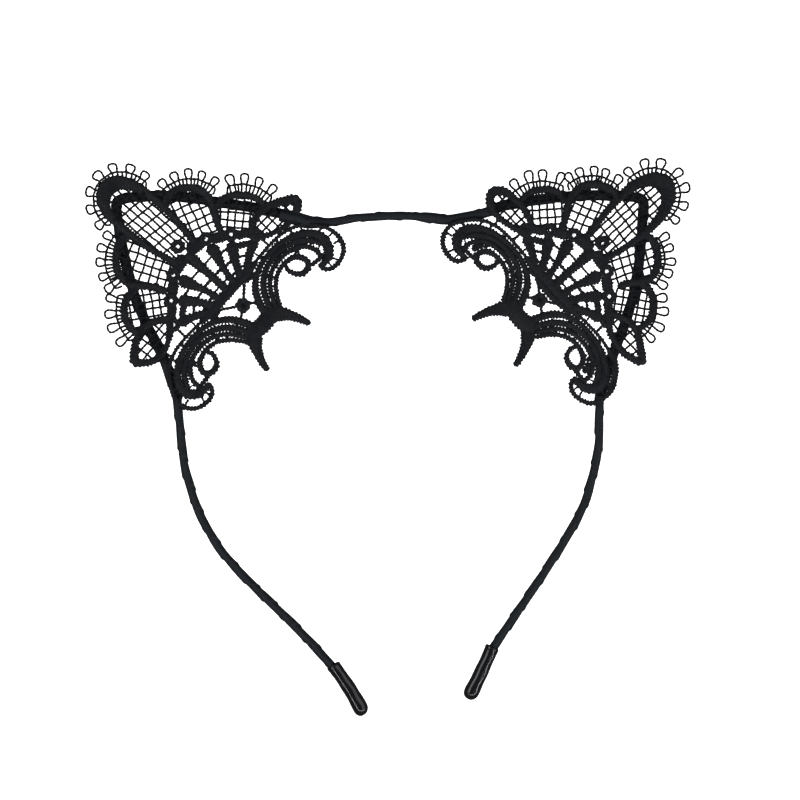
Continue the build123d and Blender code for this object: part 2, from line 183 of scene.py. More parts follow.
SCROLL_CORDS = [
    [(2.8, -19.2, 1.4), (4.2, -15.4, 1.4), (6.5, -11.5, 1.3), (9.8, -8.8, 1.15),
     (14, -7.2, 1.05), (18.5, -6.7, 1.0), (23, -7.1, 1.05), (27.8, -8.7, 1.2),
     (31.8, -11.5, 1.4), (33.8, -15, 1.7), (33.4, -18.6, 1.85), (31.2, -21.1, 1.6),
     (28.2, -21.6, 1.25), (27.1, -20.9, 0.9)],
    [(5, -20, 1.1), (6.6, -16.3, 1.2), (8.9, -12.9, 1.22), (11.7, -10.6, 1.18),
     (15, -9.1, 1.12), (18.8, -8.6, 1.08), (22.6, -8.9, 1.05), (26.5, -10.3, 1.1),
     (29.8, -12.8, 1.2), (31.6, -15.4, 0.9), (32.2, -17.6, 0.9)],
    [(6.7, -20.6, 0.9), (8.4, -17.3, 0.95), (10.3, -14.5, 0.95), (12.9, -12.3, 0.95),
     (15.8, -10.9, 0.9), (19, -10.5, 0.95), (22.6, -10.8, 0.95), (26, -12.1, 1.0),
     (28.4, -14.3, 0.95), (29.5, -17, 0.9), (29.3, -19.4, 1.0)],
    [(7.8, -21.4, 0.8), (9.5, -18.6, 0.8), (11.3, -16.2, 0.85), (13.6, -14.2, 0.85),
     (16.4, -12.9, 0.85), (20, -12.7, 0.95), (23.4, -13.8, 1.1), (25.0, -16.6, 1.1),
     (24, -18.9, 1.15), (21.4, -19.2, 1.1), (19.4, -17.6, 0.95), (18.6, -14.9, 0.85),
     (19.4, -13.2, 0.8)],
]
CURL = [(13.5, -5.2, 0.6), (20, -4.9, 0.6), (26, -5.4, 0.65), (30.6, -7, 0.7), (33.8, -9.6, 0.7),
        (35.9, -12.4, 0.7), (37.4, -15, 0.75), (38, -18, 0.8), (37.5, -21.2, 0.85),
        (35.4, -23.9, 0.85), (31.9, -25.1, 0.85), (28.5, -24.7, 0.85), (26.8, -22.6, 0.85),
        (27, -20.6, 0.8)]
RIGHT_OUTER_CURL = [(-27.5, -5.4, 0.8), (-31, -6.4, 0.9), (-34, -8.4, 0.8), (-36.5, -11.4, 0.75),
                    (-37.9, -14.4, 0.75), (-38, -17.5, 0.75), (-36.5, -20.4, 0.7)]
CURL_BARS = [[(34.4, -13.8, 0.5), (37, -13.8, 0.5)], [(35, -17.2, 0.35), (38, -17.4, 0.35)],
             [(34.9, -19.8, 0.4), (37.8, -20.6, 0.4)], [(31.2, -22, 0.4), (32.3, -25, 0.4)],
             [(29.4, -21.8, 0.35), (29.2, -24.6, 0.35)], [(19, -5.2, 0.3), (19.3, -7, 0.3)],
             [(23.2, -5.2, 0.6), (23, -7.2, 0.6)], [(28.9, -6.4, 0.5), (28.2, -8.6, 0.5)],
             [(32, -8.2, 0.4), (31, -10.6, 0.4)], [(15.6, -5.4, 0.7), (16, -7.2, 0.7)]]
SCROLL_BARS = [[(8.8, -17.2, 0.4), (9.9, -18.2, 0.4)], [(10.9, -14.4, 0.5), (11.9, -15.6, 0.5)],
               [(13.4, -12.6, 0.5), (14.2, -14, 0.5)], [(16.8, -11.2, 0.3), (17, -13.2, 0.3)],
               [(24.6, -11.6, 0.7), (25.4, -14, 0.7)],
               [(24.6, -19.3, 0.8), (28, -19.7, 0.8), (30.6, -19.6, 0.8)],
               [(31.6, -14.2, 0.35), (28.8, -15.4, 0.35)], [(32, -17, 0.3), (29.6, -17.8, 0.3)]]
RIGHT_SCROLL_FILL = [(25.6, -13.6, 0.9), (27.0, -15.4, 1.25), (27.0, -17.8, 1.1)]
LEAF_BARS = [[(20.3, -0.8, 0.5), (20.4, -5.2, 0.5)], [(28.5, -3.8, 0.45), (28.4, -7, 0.45)],
             [(15.2, -2.2, 0.35), (15.7, -5.8, 0.35)]]
ROSETTE_CENTRE = (0.1, -11.8)
ROSETTE_RADIUS = 2.5
ROSETTE_ARMS = [(5.6, -7.3), (4.9, -15), (-4.6, -14.8), (-6, -7.2)]
HORN_BLOCK = [(-6.4, -18.8, 2.4), (-3.4, -20.4, 2.8), (0, -20.8, 2.9), (3.4, -20.4, 2.8),
              (6.4, -18.8, 2.4)]
HORN = [(4.0, -20.8, 2.9), (6.3, -22.9, 2.5), (7.8, -25.1, 1.9), (9.0, -27.6, 1.55),
        (9.9, -30.2, 1.25), (10.4, -32.4, 1.05)]

# Where the right ear's motif lies a little differently from the left's: at these heights, how
# much further across and up
RIGHT_SHIFT_AT = (-33, -20, -10, 0, 25, 50)
RIGHT_SHIFT_ACROSS = (0.5, 0.5, 0.6, 0.9, 0.8, 0.8)
RIGHT_SHIFT_UP = (0.2, 0.6, 0.4, -0.3, -0.8, -1.6)

# How much further up the scrolls' outer ends lie, on the leg side and on the crown side, and
# how far out and down from the middle of the motif that lift starts and is whole
CURL_LIFTS = {"left": (0.8, -0.45), "right": (1.0, 1.0)}
CURL_OUT = (15, 27)
CURL_DOWN = (14, 23)

# Each net: its lines' two directions in degrees, their spacing, and one line's distance from
# the middle of the motif, all for the crown side
TIP_NET = {"left": ((91.5, 2.03, 0.65), (-8, 3.7, 32.9)),
           "right": ((90, 2.05, -1.0), (4, 3.7, 30.4))}
SIDE_NET = ((66, 2.75, 0.6), (-25, 2.85, 21.2))
LOW_NET = ((38, 2.5, 0.3), (-52, 2.5, 23.0))
LEAF_NET = ((-2, 2.45, 0.5), (88, 3.0, -24.2))
TIP_NET_FOOT = [(4, 13.2), (0, 16), (-4, 13.2)]
SIDE_NET_FOOT = [(10, 9.8), (8, 11.8), (4.8, 13.5), (5.6, 19)]
LOW_NET_FOOT = [(20, 3.4), (17.5, 4.2), (14.6, 6.4), (13.4, 10)]

# Each picot row: centre, radii of the petal's edge, the base thread and the loops' tops, how
# much longer those are upwards than sideways, first and last angle, count of loops
PICOT_ROWS = {
    ("left", 0): [((-1.1, 39.4), 8.4, 9.6, 12.2, 0.16, 6, 170, 7)],
    ("left", 1): [((10, 20.9), 10.5, 12.3, 15.5, 0, 82, 6, 5),
                  ((19.2, 6.1), 11.7, 13.6, 17.1, 0, 57, 3, 4)],
    ("left", -1): [((10.9, 22), 11.1, 12.9, 16.1, 0, 82, 10, 5),
                   ((19.3, 7.8), 12.3, 14.3, 18.2, 0, 60, 6, 4)],
    ("right", 0): [((1.2, 38.0), 8.1, 9.3, 12.4, 0.13, 4, 173, 7)],
    ("right", 1): [((10.5, 20.8), 10.4, 12.1, 15.2, 0, 80, 9, 5),
                   ((19.2, 6.6), 11.7, 13.4, 17.1, 0, 63, 5, 4)],
    ("right", -1): [((9.2, 19.5), 10.0, 11.7, 15.2, 0, 80, 11, 5),
                    ((17.7, 6.0), 11.5, 13.3, 17.2, 0, 58, 5, 4)],
}

STITCH_SHARES = {
    "left": (0.045, 0.13, 0.22, 0.31, 0.4, 0.52, 0.6, 0.68, 0.76, 0.84, 0.9),
    "right": (0.05, 0.14, 0.23, 0.31, 0.38, 0.5, 0.58, 0.66, 0.75, 0.83, 0.9),
}

# ---------------------------------------------------------------- cords and threads
CORD_RING = 12             # points round a cord
FULL_HALF_WIDTH = 0.9      # cords narrower than twice this are flatter and less scalloped
TOOTH_HEIGHTS = (0.35, 1.2)    # least and greatest height of a scallop, and their middle
TOOTH_MIDDLE = 0.45
THREAD_SLANT = 0.35        # how far a cord's threads run on for each millimetre across it
THREAD_RELIEF = 0.09       # share of a cord's height by which they ripple it
TOOTH_RELIEF = 0.16        # and by which the scallops do
THREAD_RING = 6            # points round a thread
THREAD_STEP = 0.42         # distance between a thread's rings
OUTLINE_STEP = 0.5         # distance between the points of a net's outline
NET_WEAVE = 0.12           # how far a net's thread goes over and under the ones it crosses
NET_STRAY = 0.16           # how far it strays from its line
SHORTEST_THREAD = 1.2      # shorter stretches of a net are left out

# ---------------------------------------------------------------- ribbon, stitches and caps
LINE_STEP = 0.2            # distance between the points of the wire's centre line
RIBBON_RING = 40           # points round the ribbon
CROWN_WRAP_STEPS = {"left": 34, "right": 20}   # how far the crown's ribbon runs into each ear
WRAP_OVERLAP = 8           # steps by which the ear's ribbon starts under its end
WOUND_BEFORE_EAR = 31      # length already wound where the ear's ribbon starts
RIBBON_EDGE = 0.035        # share of a turn over which the ribbon's edge drops
SELVEDGE = 0.35            # the thicker strip beside that edge, against the step's own height
SELVEDGE_AT = 0.93         # its middle and its width, as shares of a turn
SELVEDGE_WIDTH = 0.05
CROWN_DIP = 0.55           # how far the crown's ribbon dips where an ear's lace crosses it
DIP_STARTS = (23, 29)      # distances from the headband's middle between which it does
DIP_ENDS = (34, 41)
PLUMP_FROM = (8, 12)       # and between which the right half of the crown grows plumper
PLUMP = 0.35
EAR_PLUMP = 0.3            # how much plumper the ears' ribbon is than the legs'
LEG_STARTS = (56, 62)      # how far down an ear turns into its leg
STITCH_FRONT = 3.15        # from the wire's centre line to the thread before, behind and beside it
STITCH_BACK = 1.55
STITCH_SIDE = 1.55
STITCH_THREAD = 0.14       # radius of the sewing thread
STITCH_RING = 8            # points round it
CAP_RING = 48              # points round a cap
CAP_STEP = 0.16            # distance between the rings of a cap
CAP_DOME = 2.6             # length of its rounded end
CAP_BOW = {"left": -0.49, "right": -0.17}      # how far the middle of each cap bends sideways

# ---------------------------------------------------------------- the stage, in metres
FLOOR_CLEARANCE = 0.012    # the caps swing down by less than this when the legs are spread
FLOOR_FRONT = -0.9
FLOOR_HALF_WIDTH = 1.1
WALL_FOOT = 0.9            # where the floor starts to sweep up
WALL_HEIGHT = 1.8
SWEEP_RADIUS = 0.5
ROOM_LIGHT = 0.13          # strength of the white room's own light on the headband
CAMERA_X = 0.0033
CAMERA_Z = -0.0596
SENSOR_WIDTH = 36          # millimetres
MIDDLE = (0, 0, (CAD_BOX[0][2] + CAD_BOX[1][2]) / 2)

# Each lamp: place, what it points at, width and height, watts, and whether gloss mirrors it
LAMPS = {
    "key": ((-0.7, -0.75, 0.35), MIDDLE, (0.6, 0.9), 6.0, True),
    "fill": ((0.75, -0.7, 0.0), MIDDLE, (0.9, 0.9), 4.0, True),
    "low strip": ((0.1, -0.5, -0.48), (0.0, 0.0, -0.155), (1.8, 0.022), 5.0, True),
    "top": ((0.0, 0.1, 1.0), (0, 0.2, -0.2), (1.6, 1.6), 4.0, False),
    "wall left": ((-0.7, 0.3, 0.9), (-0.2, 1.4, 0.1), (0.7, 0.5), 1.5, False),
    "wall right": ((0.7, 0.3, 0.9), (0.2, 1.4, 0.1), (0.7, 0.5), 1.5, False),
}


# ---------------------------------------------------------------- what a user would change
class LaceSettings(bpy.types.PropertyGroup):
    """Sizes and colour of the embroidered motif."""

    level: bpy.props.FloatProperty(
        name="Level", description="Middle of the lace, in front of the wire's centre line",
        default=-(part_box("left_lace_horns")[0].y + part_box("left_lace_horns")[1].y) / 2,
        unit="LENGTH")
    cord_half_height: bpy.props.FloatProperty(
        name="Cord half height", description="Half the thickness of a satin-stitched cord",
        default=0.00058, unit="LENGTH")
    tooth_pitch: bpy.props.FloatProperty(
        name="Tooth pitch", description="Distance between the stitches that show at a cord's edge",
        default=0.00112, unit="LENGTH")
    tooth_depth: bpy.props.FloatProperty(
        name="Tooth depth", description="How far those stitches stand out",
        default=0.0005, unit="LENGTH")
    thread_pitch: bpy.props.FloatProperty(
        name="Thread pitch", description="Distance between the threads across a cord",
        default=0.00042, unit="LENGTH")
    net_thread: bpy.props.FloatProperty(
        name="Net thread", description="Radius of the net's threads", default=0.00038,
        unit="LENGTH")
    picot_thread: bpy.props.FloatProperty(
        name="Picot thread", description="Radius of the thread loops on the outer edge",
        default=0.00038, unit="LENGTH")
    colour: bpy.props.FloatVectorProperty(
        name="Colour", description="The thread's colour", subtype="COLOR", size=3,
        default=(0.0032, 0.0037, 0.0050))


class RibbonSettings(bpy.types.PropertyGroup):
    """Sizes and colour of the satin ribbon wound over the wire."""

    radius: bpy.props.FloatProperty(
        name="Radius", description="From the wire's centre line to the first turn",
        default=0.00124, unit="LENGTH")
    step: bpy.props.FloatProperty(
        name="Step", description="Height of the ribbon's edge over the turn below",
        default=0.0003, unit="LENGTH")
    pitch: bpy.props.FloatProperty(
        name="Pitch", description="Distance between turns", default=0.0098, unit="LENGTH")
    colour: bpy.props.FloatVectorProperty(
        name="Colour", description="The satin's colour", subtype="COLOR", size=3,
        default=(0.0055, 0.0068, 0.0085))


class CapSettings(bpy.types.PropertyGroup):
    """Sizes and colour of the dipped vinyl end caps."""

    neck_radius: bpy.props.FloatProperty(
        name="Neck radius", description="Just behind the rolled mouth", default=0.00228,
        unit="LENGTH")
    bulb_radius: bpy.props.FloatProperty(
        name="Bulb radius", description="Near the rounded end", default=0.00252, unit="LENGTH")
    colour: bpy.props.FloatVectorProperty(
        name="Colour", description="The vinyl's colour", subtype="COLOR", size=3,
        default=(0.0018, 0.002, 0.0026))


class StageSettings(bpy.types.PropertyGroup):
    """The floor, the lights and the camera."""

    camera_distance: bpy.props.FloatProperty(
        name="Camera distance", description="From the lens to the headband's plane",
        default=0.7333, unit="LENGTH")
    lens: bpy.props.FloatProperty(
        name="Lens", description="Focal length in millimetres", default=100, unit="CAMERA")
    floor_colour: bpy.props.FloatVectorProperty(
        name="Floor colour", description="The pale seamless floor and backdrop",
        subtype="COLOR", size=3, default=(0.93, 0.93, 0.93))


# ---------------------------------------------------------------- lines
def evenly(line, step):
    """The same line with evenly spaced points, by interpolating along its summed length."""
    length = run_length(line)
    at = np.linspace(0, length[-1], max(int(round(length[-1] / step)), 3) + 1)
    return np.stack([np.interp(at, length, line[:, i]) for i in range(line.shape[1])], 1)


def run_length(line):
    """Length along the line up to each of its points."""
    return np.concatenate([[0], np.cumsum(np.linalg.norm(np.diff(line, axis=0), axis=1))])


def through(points, step, closed=False):
    """A smooth line through the points: between each two, the cubic whose slope at a point is
    half the way from the point before it to the one after (Catmull-Rom)."""
    p = np.asarray(points, float)
    if closed:
        p = np.vstack([p[-1], p, p[:2]])
    else:
        p = np.vstack([2 * p[0] - p[1], p, 2 * p[-1] - p[-2]])
    t = np.linspace(0, 1, 20, endpoint=False)[:, None]
    a, b, c, d = (p[i:len(p) - 3 + i, None] for i in range(4))
    line = 0.5 * (2 * b + (c - a) * t + (2 * a - 5 * b + 4 * c - d) * t ** 2
                  + (3 * b - a - 3 * c + d) * t ** 3)
    return evenly(np.vstack([line.reshape(-1, p.shape[1]), p[-2]]), step)


def beside(points, step):
    """A smooth line that bends beside its points: on each corner, the parabola from the middle
    of the run before to the middle of the run after, drawn towards the corner."""
    p = np.asarray(points, float)
    middle = (p[1:] + p[:-1]) / 2
    start = np.vstack([p[:1], middle[1:-1]])[:, None]
    end = np.vstack([middle[1:-1], p[-1:]])[:, None]
    corner = p[1:-1, None]
    t = np.linspace(0, 1, 24, endpoint=False)[:, None]
    line = (1 - t) ** 2 * start + 2 * t * (1 - t) * corner + t ** 2 * end
    return evenly(np.vstack([line.reshape(-1, p.shape[1]), p[-1]]), step)


def headings(line, closed=False):
    """Unit direction of the line at each of its points."""
    if closed:
        run = np.roll(line, -1, 0) - np.roll(line, 1, 0)
    else:
        run = np.gradient(line, axis=0)
    return run / np.linalg.norm(run, axis=1, keepdims=True)


def ease(values, low, high):
    """0 below low, 1 above high, and a smooth step between: 3t^2 - 2t^3."""
    t = np.clip((values - low) / (high - low), 0, 1)
    return t * t * (3 - 2 * t)


# ---------------------------------------------------------------- surfaces
def surface(grid, length, wrap=False):
    """Rows of rings to be skinned, with length running along the rows for the UV map. A wrapped
    surface joins its last row to its first."""
    return {"grid": grid, "length": length, "wrap": wrap}


def tube(line, radius, axis, ring):
    """A round thread: circles carried along the line, of one radius or of one for each of its
    points. axis is any direction that the line never follows."""
    t = headings(line)
    up = axis - (t @ axis)[:, None] * t
    up /= np.linalg.norm(up, axis=1, keepdims=True)
    side = np.cross(up, t)
    turn = np.linspace(0, 2 * math.pi, ring, endpoint=False)
    r = np.broadcast_to(radius, len(line))[:, None, None]
    grid = line[:, None] + r * (side[:, None] * np.cos(turn)[:, None]
                                + up[:, None] * np.sin(turn)[:, None])
    return surface(grid, run_length(line))


def teeth(length, pitch, rng, closed):
    """The scalloped edge of satin stitches: half sine waves, each of its own height, about 0."""
    count = max(int(round(length[-1] / pitch)), 2)
    phase = length / length[-1] * count + (0 if closed else rng.uniform())
    height = rng.uniform(*TOOTH_HEIGHTS, count + 2)
    wave = np.abs(np.sin(math.pi * phase))
    turn = phase.astype(int) % (count if closed else count + 2)
    return height[turn] * wave - TOOTH_MIDDLE


def satin_cord(points, lace, rng, closed=False, level=0.0):
    """A satin-stitched cord: a flattened oval, with a power of the sine as its height, carried
    along the line and rounded off at open ends. Its edges are scalloped by the stitches, and
    fine slanting threads ripple its face."""
    line = through(points, lace.thread_pitch / MM / 3, closed)
    length = run_length(line[:, :2])
    if closed:
        line = line[:-1]
    along = length[:len(line)]
    half_width = line[:, 2]
    line = line[:, :2]
    fullness = half_width / FULL_HALF_WIDTH
    half_height = lace.cord_half_height / MM * np.clip(fullness, 0.55, 1.1)
    if not closed:
        to_end = np.minimum(along, length[-1] - along)
        rounding = np.clip(to_end / half_width, 0, 1)
        rounding = np.sqrt(np.clip(1 - (1 - rounding) ** 2, 0.03, 1))
        half_width = half_width * rounding
        fullness = fullness * rounding
        half_height = half_height * rounding
    heading = headings(line, closed)
    side = np.stack([-heading[:, 1], heading[:, 0]], 1)
    turn = np.linspace(0, 2 * math.pi, CORD_RING, endpoint=False)
    cos = np.cos(turn)
    sin = np.sin(turn)
    pitch = lace.tooth_pitch / MM
    edges = [teeth(length, pitch, rng, closed)[:len(line), None] for _ in range(2)]
    edge = np.where(cos >= 0, edges[0], edges[1]) * np.clip(fullness, 0.4, 1)[:, None]
    offset = cos * (half_width[:, None] + lace.tooth_depth / MM * edge * np.abs(cos))
    threads = round(length[-1] / lace.thread_pitch * MM)
    slanted = along[:, None] + THREAD_SLANT * offset
    ripple = np.cos(2 * math.pi * slanted / length[-1] * threads)
    rise = np.sign(sin) * np.abs(sin) ** 0.8 * half_height[:, None]
    rise *= 1 + THREAD_RELIEF * ripple + TOOTH_RELIEF * (edges[0] + edges[1])
    flat = line[:, None] + side[:, None] * offset[..., None]
    grid = np.dstack([flat[..., 0], flat[..., 1], rise + level])
    return surface(grid, length if closed else along, closed)


def lace_thread(points, radius, rng):
    """A fine twisted thread of the net or edge, wavering a little on its way. The points have
    their height over the lace's middle as a third number, or lie at it."""
    p = np.asarray(points, float)
    if p.shape[1] == 2:
        p = np.column_stack([p, np.zeros(len(p))])
    line = through(p, THREAD_STEP) if len(p) > 2 else evenly(p, THREAD_STEP)
    along = run_length(line)
    phase = rng.uniform(0, 2 * math.pi, 2)
    line[:, 2] += 0.07 * np.sin(along * 2.4 + phase[0])
    thickness = radius / MM * (1 + 0.14 * np.sin(along * 5.2 + phase[1]))
    return tube(line, thickness, np.array([0, 0, 1.0]), THREAD_RING)


def stitched_disc(centre, radius, hole, lace, rng):
    """A round satin-stitched eye: a ring whose section is a flattened oval between the hole and
    the scalloped rim."""
    middle = (radius + hole) / 2
    half = (radius - hole) / 2
    turn = np.linspace(0, 2 * math.pi, 12, endpoint=False)
    circle = [(centre[0] + middle * math.cos(a), centre[1] + middle * math.sin(a), half)
              for a in turn]
    return satin_cord(circle, lace, rng, closed=True, level=0.08)


def rows_to_mesh(name, surfaces, flip):
    """One mesh of all the surfaces: each is skinned with quads, and open ends are closed."""
    points = []
    corners = []
    counts = []
    uvs = []
    base = 0
    for s in surfaces:
        grid = s["grid"]
        rows, ring = grid.shape[:2]
        i = np.arange(rows if s["wrap"] else rows - 1)[:, None]
        j = np.arange(ring)[None]
        row = (i + 1) % rows * ring
        over = (j + 1) % ring
        quads = np.stack([i * ring + j, i * ring + over, row + over, row + j], -1)
        u = np.stack([s["length"][i], s["length"][i], s["length"][i + 1], s["length"][i + 1]], -1)
        v = np.stack([j, j + 1, j + 1, j], -1) / ring
        points.append(grid.reshape(-1, 3))
        corners.append(quads.reshape(-1) + base)
        counts.append(np.full(quads.shape[0] * quads.shape[1], 4))
        uvs.append(np.stack(np.broadcast_arrays(u, v), -1).reshape(-1, 2))
        if not s["wrap"]:
            first = np.arange(ring)[::-1]
            last = np.arange(ring) + (rows - 1) * ring
            corners += [first + base, last + base]
            counts.append([ring, ring])
            uvs += [np.full((ring, 2), (s["length"][0], 0.5)),
                    np.full((ring, 2), (s["length"][-1], 0.5))]
        base += rows * ring
    points = np.vstack(points)
    corners = np.concatenate(corners)
    counts = np.concatenate(counts)
    uvs = np.vstack(uvs)
    starts = np.concatenate([[0], np.cumsum(counts)[:-1]])
    if flip:
        ends = np.repeat(starts + counts - 1, counts)
        order = ends - (np.arange(len(corners)) - np.repeat(starts, counts))
        corners = corners[order]
        uvs = uvs[order]
    mesh = bpy.data.meshes.new(name)
    mesh.vertices.add(len(points))
    mesh.vertices.foreach_set("co", points.astype(np.float32).ravel())
    mesh.loops.add(len(corners))
    mesh.loops.foreach_set("vertex_index", corners.astype(np.int32))
    mesh.polygons.add(len(counts))
    mesh.polygons.foreach_set("loop_start", starts.astype(np.int32))
    mesh.update(calc_edges=True)
    layer = mesh.uv_layers.new(name="run")
    layer.data.foreach_set("uv", uvs.astype(np.float32).ravel())
    mesh.shade_smooth()
    return mesh


def new_piece(name, surfaces, material, flip=False):
    """An object at the origin whose mesh holds its place, in metres."""
    mesh = rows_to_mesh(name, surfaces, flip)
    mesh.materials.append(material)
    obj = bpy.data.objects.new(name, mesh)
    bpy.context.scene.collection.objects.link(obj)
    return obj


# ---------------------------------------------------------------- the ear's own plane
def ear_axes(ear):
    """Origin in millimetres, and the across and up directions, of that ear's lace."""
    sign = -1 if ear == "left" else 1
    across = np.array([-sign * math.sin(EAR_TILT), 0, math.cos(EAR_TILT)])
    up = np.array([sign * math.cos(EAR_TILT), 0, math.sin(EAR_TILT)])
    low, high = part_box(f"{ear}_lace_rosette")
    centre = (np.array(low) + np.array(high)) / 2 / MM
    centre[1] = 0
    x, y = ROSETTE_IN_EAR[ear]
    return centre - x * across - y * up, across, up


def laid_in_ear(surfaces, ear, lace):
    """The drawn surfaces placed in the ear, with the slow waves of a soft lace: two crossed
    sine waves lift it towards the front."""
    origin, across, up = ear_axes(ear)
    placed = []
    for s in surfaces:
        x, y, n = (s["grid"][..., i, None] for i in range(3))
        wave = (0.16 * np.sin(0.17 * x + 0.6) * np.sin(0.13 * y + 1.1)
                + 0.08 * np.sin(0.31 * y - 0.2 * x))
        height = n + lace.level / MM + 0.1 + wave
        placed.append({**s, "grid": (origin + x * across + y * up + height * FRONT) * MM})
    return placed


def lace_piece(name, surfaces, ear, nodes, material, lace):
    """A piece of an ear's lace, riding on that ear in place of the named nodes."""
    placed = laid_in_ear(surfaces, ear, lace)
    obj = new_piece(f"{ear}_{name}", placed, material, flip=ear == "right")
    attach(obj, f"{ear}_ear")
    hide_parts(*(f"{ear}_{node}" for node in nodes))
    return obj


def shared(points, ear):
    """Points of the common motif, moved to where that ear's motif has them."""
    p = np.array(points, float)
    leg_side, crown_side = CURL_LIFTS[ear]
    in_curl = ease(np.abs(p[:, 0]), *CURL_OUT) * ease(-p[:, 1], *CURL_DOWN)
    lift = np.where(p[:, 0] < 0, leg_side, crown_side) * in_curl
    if ear == "right":
        across = np.interp(p[:, 1], RIGHT_SHIFT_AT, RIGHT_SHIFT_ACROSS)
        up = np.interp(p[:, 1], RIGHT_SHIFT_AT, RIGHT_SHIFT_UP)
        p[:, :2] += np.column_stack([across, up])
    p[:, 1] += lift
    return p


def mirrored(points, side):
    """Points of the crown side's half, or with side -1 the same ones on the leg side."""
    p = np.array(points, float)
    p[:, 0] *= side
    return p


def both_halves(lists, ear):
    """Each list of points, on both halves of the motif."""
    return [shared(mirrored(points, side), ear) for points in lists for side in (1, -1)]


def ear_rng(ear, number):
    """The random numbers of one piece of an ear."""
    return np.random.default_rng(SEED + number + (RIGHT_EAR_SEED if ear == "right" else 0))


# ---------------------------------------------------------------- the parts of the motif
def petal_surfaces(ear, lace):
    """The satin-stitched outlines: the tip petal, and on each side two round petals and a leaf."""
    rng = ear_rng(ear, 1)
    cords = [satin_cord(TIP_PETAL[ear], lace, rng, level=0.04)]
    for side in (1, -1):
        cords.append(satin_cord(mirrored(SIDE_PETAL[ear, side], side), lace, rng))
        cords.append(satin_cord(mirrored(LOW_PETAL[ear, side], side), lace, rng, level=-0.05))
        leaf = mirrored(LEAF[ear, side], side)
        cords.append(satin_cord(leaf, lace, rng, closed=True, level=0.05))
    return cords


def fan_surfaces(ear, lace):
    """Seven spokes with eyed bulbs, the rim and rungs that join them, and their base plate."""
    rng = ear_rng(ear, 2)
    spokes = both_halves(SPOKES[1:], ear) + [shared(SPOKES[0], ear)]
    cords = [satin_cord(points, lace, rng) for points in spokes]
    bulbs = [(side * x, y) for x, y in BULBS for side in (1, -1)][1:]
    cords += [stitched_disc(centre, BULB_RADIUS, EYELET_RADIUS, lace, rng)
              for centre in shared(bulbs, ear)]
    cords += [satin_cord(points, lace, rng, level=-0.1) for points in both_halves(RIM, ear)]
    cords += [satin_cord(points, lace, rng, level=-0.08) for points in both_halves(RUNGS, ear)]
    cords.append(satin_cord(shared(BASE_PLATE, ear), lace, rng, level=-0.03))
    cords += [satin_cord(points, lace, rng, level=-0.05)
              for points in both_halves([BASE_CORNER], ear)]
    if ear == "right":
        cords.append(satin_cord(shared(RIGHT_BASE_CORD, ear), lace, rng, level=-0.05))
    return cords


def scroll_surfaces(ear, lace):
    """Each scroll's four side-by-side cords, the innermost looping to a teardrop, and the short
    bars that tie them to each other and to the leaf."""
    rng = ear_rng(ear, 3)
    cords = [satin_cord(points, lace, rng, level=0.03)
             for points in both_halves(SCROLL_CORDS, ear)]
    cords += [satin_cord(points, lace, rng, level=-0.1)
              for points in both_halves(SCROLL_BARS + LEAF_BARS, ear)]
    if ear == "right":
        cords += [satin_cord(points, lace, rng, level=-0.12)
                  for points in both_halves([RIGHT_SCROLL_FILL], ear)]
    return cords


def curl_surfaces(ear, lace):
    """The thin beaded cord that runs round the outside of each scroll, and its bars."""
    rng = ear_rng(ear, 4)
    cords = [satin_cord(points, lace, rng) for points in both_halves([CURL], ear)]
    if ear == "right":
        cords.append(satin_cord(shared(RIGHT_OUTER_CURL, ear), lace, rng, level=-0.05))
    cords += [satin_cord(points, lace, rng, level=-0.1)
              for points in both_halves(CURL_BARS, ear)]
    return cords


def rosette_surfaces(ear, lace):
    """A domed stitched disc with four arms."""
    rng = ear_rng(ear, 5)
    centre = shared([ROSETTE_CENTRE], ear)[0]
    cords = [stitched_disc(centre, ROSETTE_RADIUS, 0.12, lace, rng)]
    for end in ROSETTE_ARMS:
        arm = shared([(*ROSETTE_CENTRE, 0.5), (*end, 0.55)], ear)
        cords.append(satin_cord(arm, lace, rng, level=-0.08))
    return cords


def horn_surfaces(ear, lace):
    """The block under the rosette and its two tapering horns."""
    rng = ear_rng(ear, 6)
    cords = [satin_cord(shared(HORN_BLOCK, ear), lace, rng, level=0.02)]
    cords += [satin_cord(points, lace, rng) for points in both_halves([HORN], ear)]
    return cords


def crossings(outline, along, normal, offset):
    """Where a straight line, at that distance from the origin, crosses a closed outline: each
    pair of numbers is a stretch inside, measured along the line."""
    distance = outline @ normal - offset
    after = np.roll(distance, -1)
    cut = (distance < 0) != (after < 0)
    share = distance[cut] / (distance[cut] - after[cut])
    run = (np.roll(outline, -1, 0) - outline)[cut]
    places = np.sort((outline[cut] + share[:, None] * run) @ along)
    return places.reshape(-1, 2)


def net_panel(outline, families, lace, rng):
    """Two families of parallel threads across the outline, one over the other."""
    threads = []
    for level, (degrees, spacing, first) in zip((NET_WEAVE, -NET_WEAVE), families):
        angle = math.radians(degrees)
        along = np.array([math.cos(angle), math.sin(angle)])
        normal = np.array([-math.sin(angle), math.cos(angle)])
        reach = outline @ normal
        lowest = first + math.ceil((reach.min() - first) / spacing) * spacing
        offsets = np.arange(lowest, reach.max(), spacing)
        for offset in offsets + rng.uniform(-0.12, 0.12, len(offsets)):
            stretches = crossings(outline, along, normal, offset)
            for start, end in stretches[stretches[:, 1] - stretches[:, 0] > SHORTEST_THREAD]:
                at = np.linspace(start, end, max(int((end - start) / spacing), 1) + 2)
                stray = rng.uniform(-NET_STRAY, NET_STRAY, len(at))
                flat = at[:, None] * along + (offset + stray)[:, None] * normal
                weave = level * np.where(np.arange(len(at)) % 2, 1, -1)
                points = np.column_stack([flat, weave])
                threads.append(lace_thread(points, lace.net_thread, rng))
    return threads


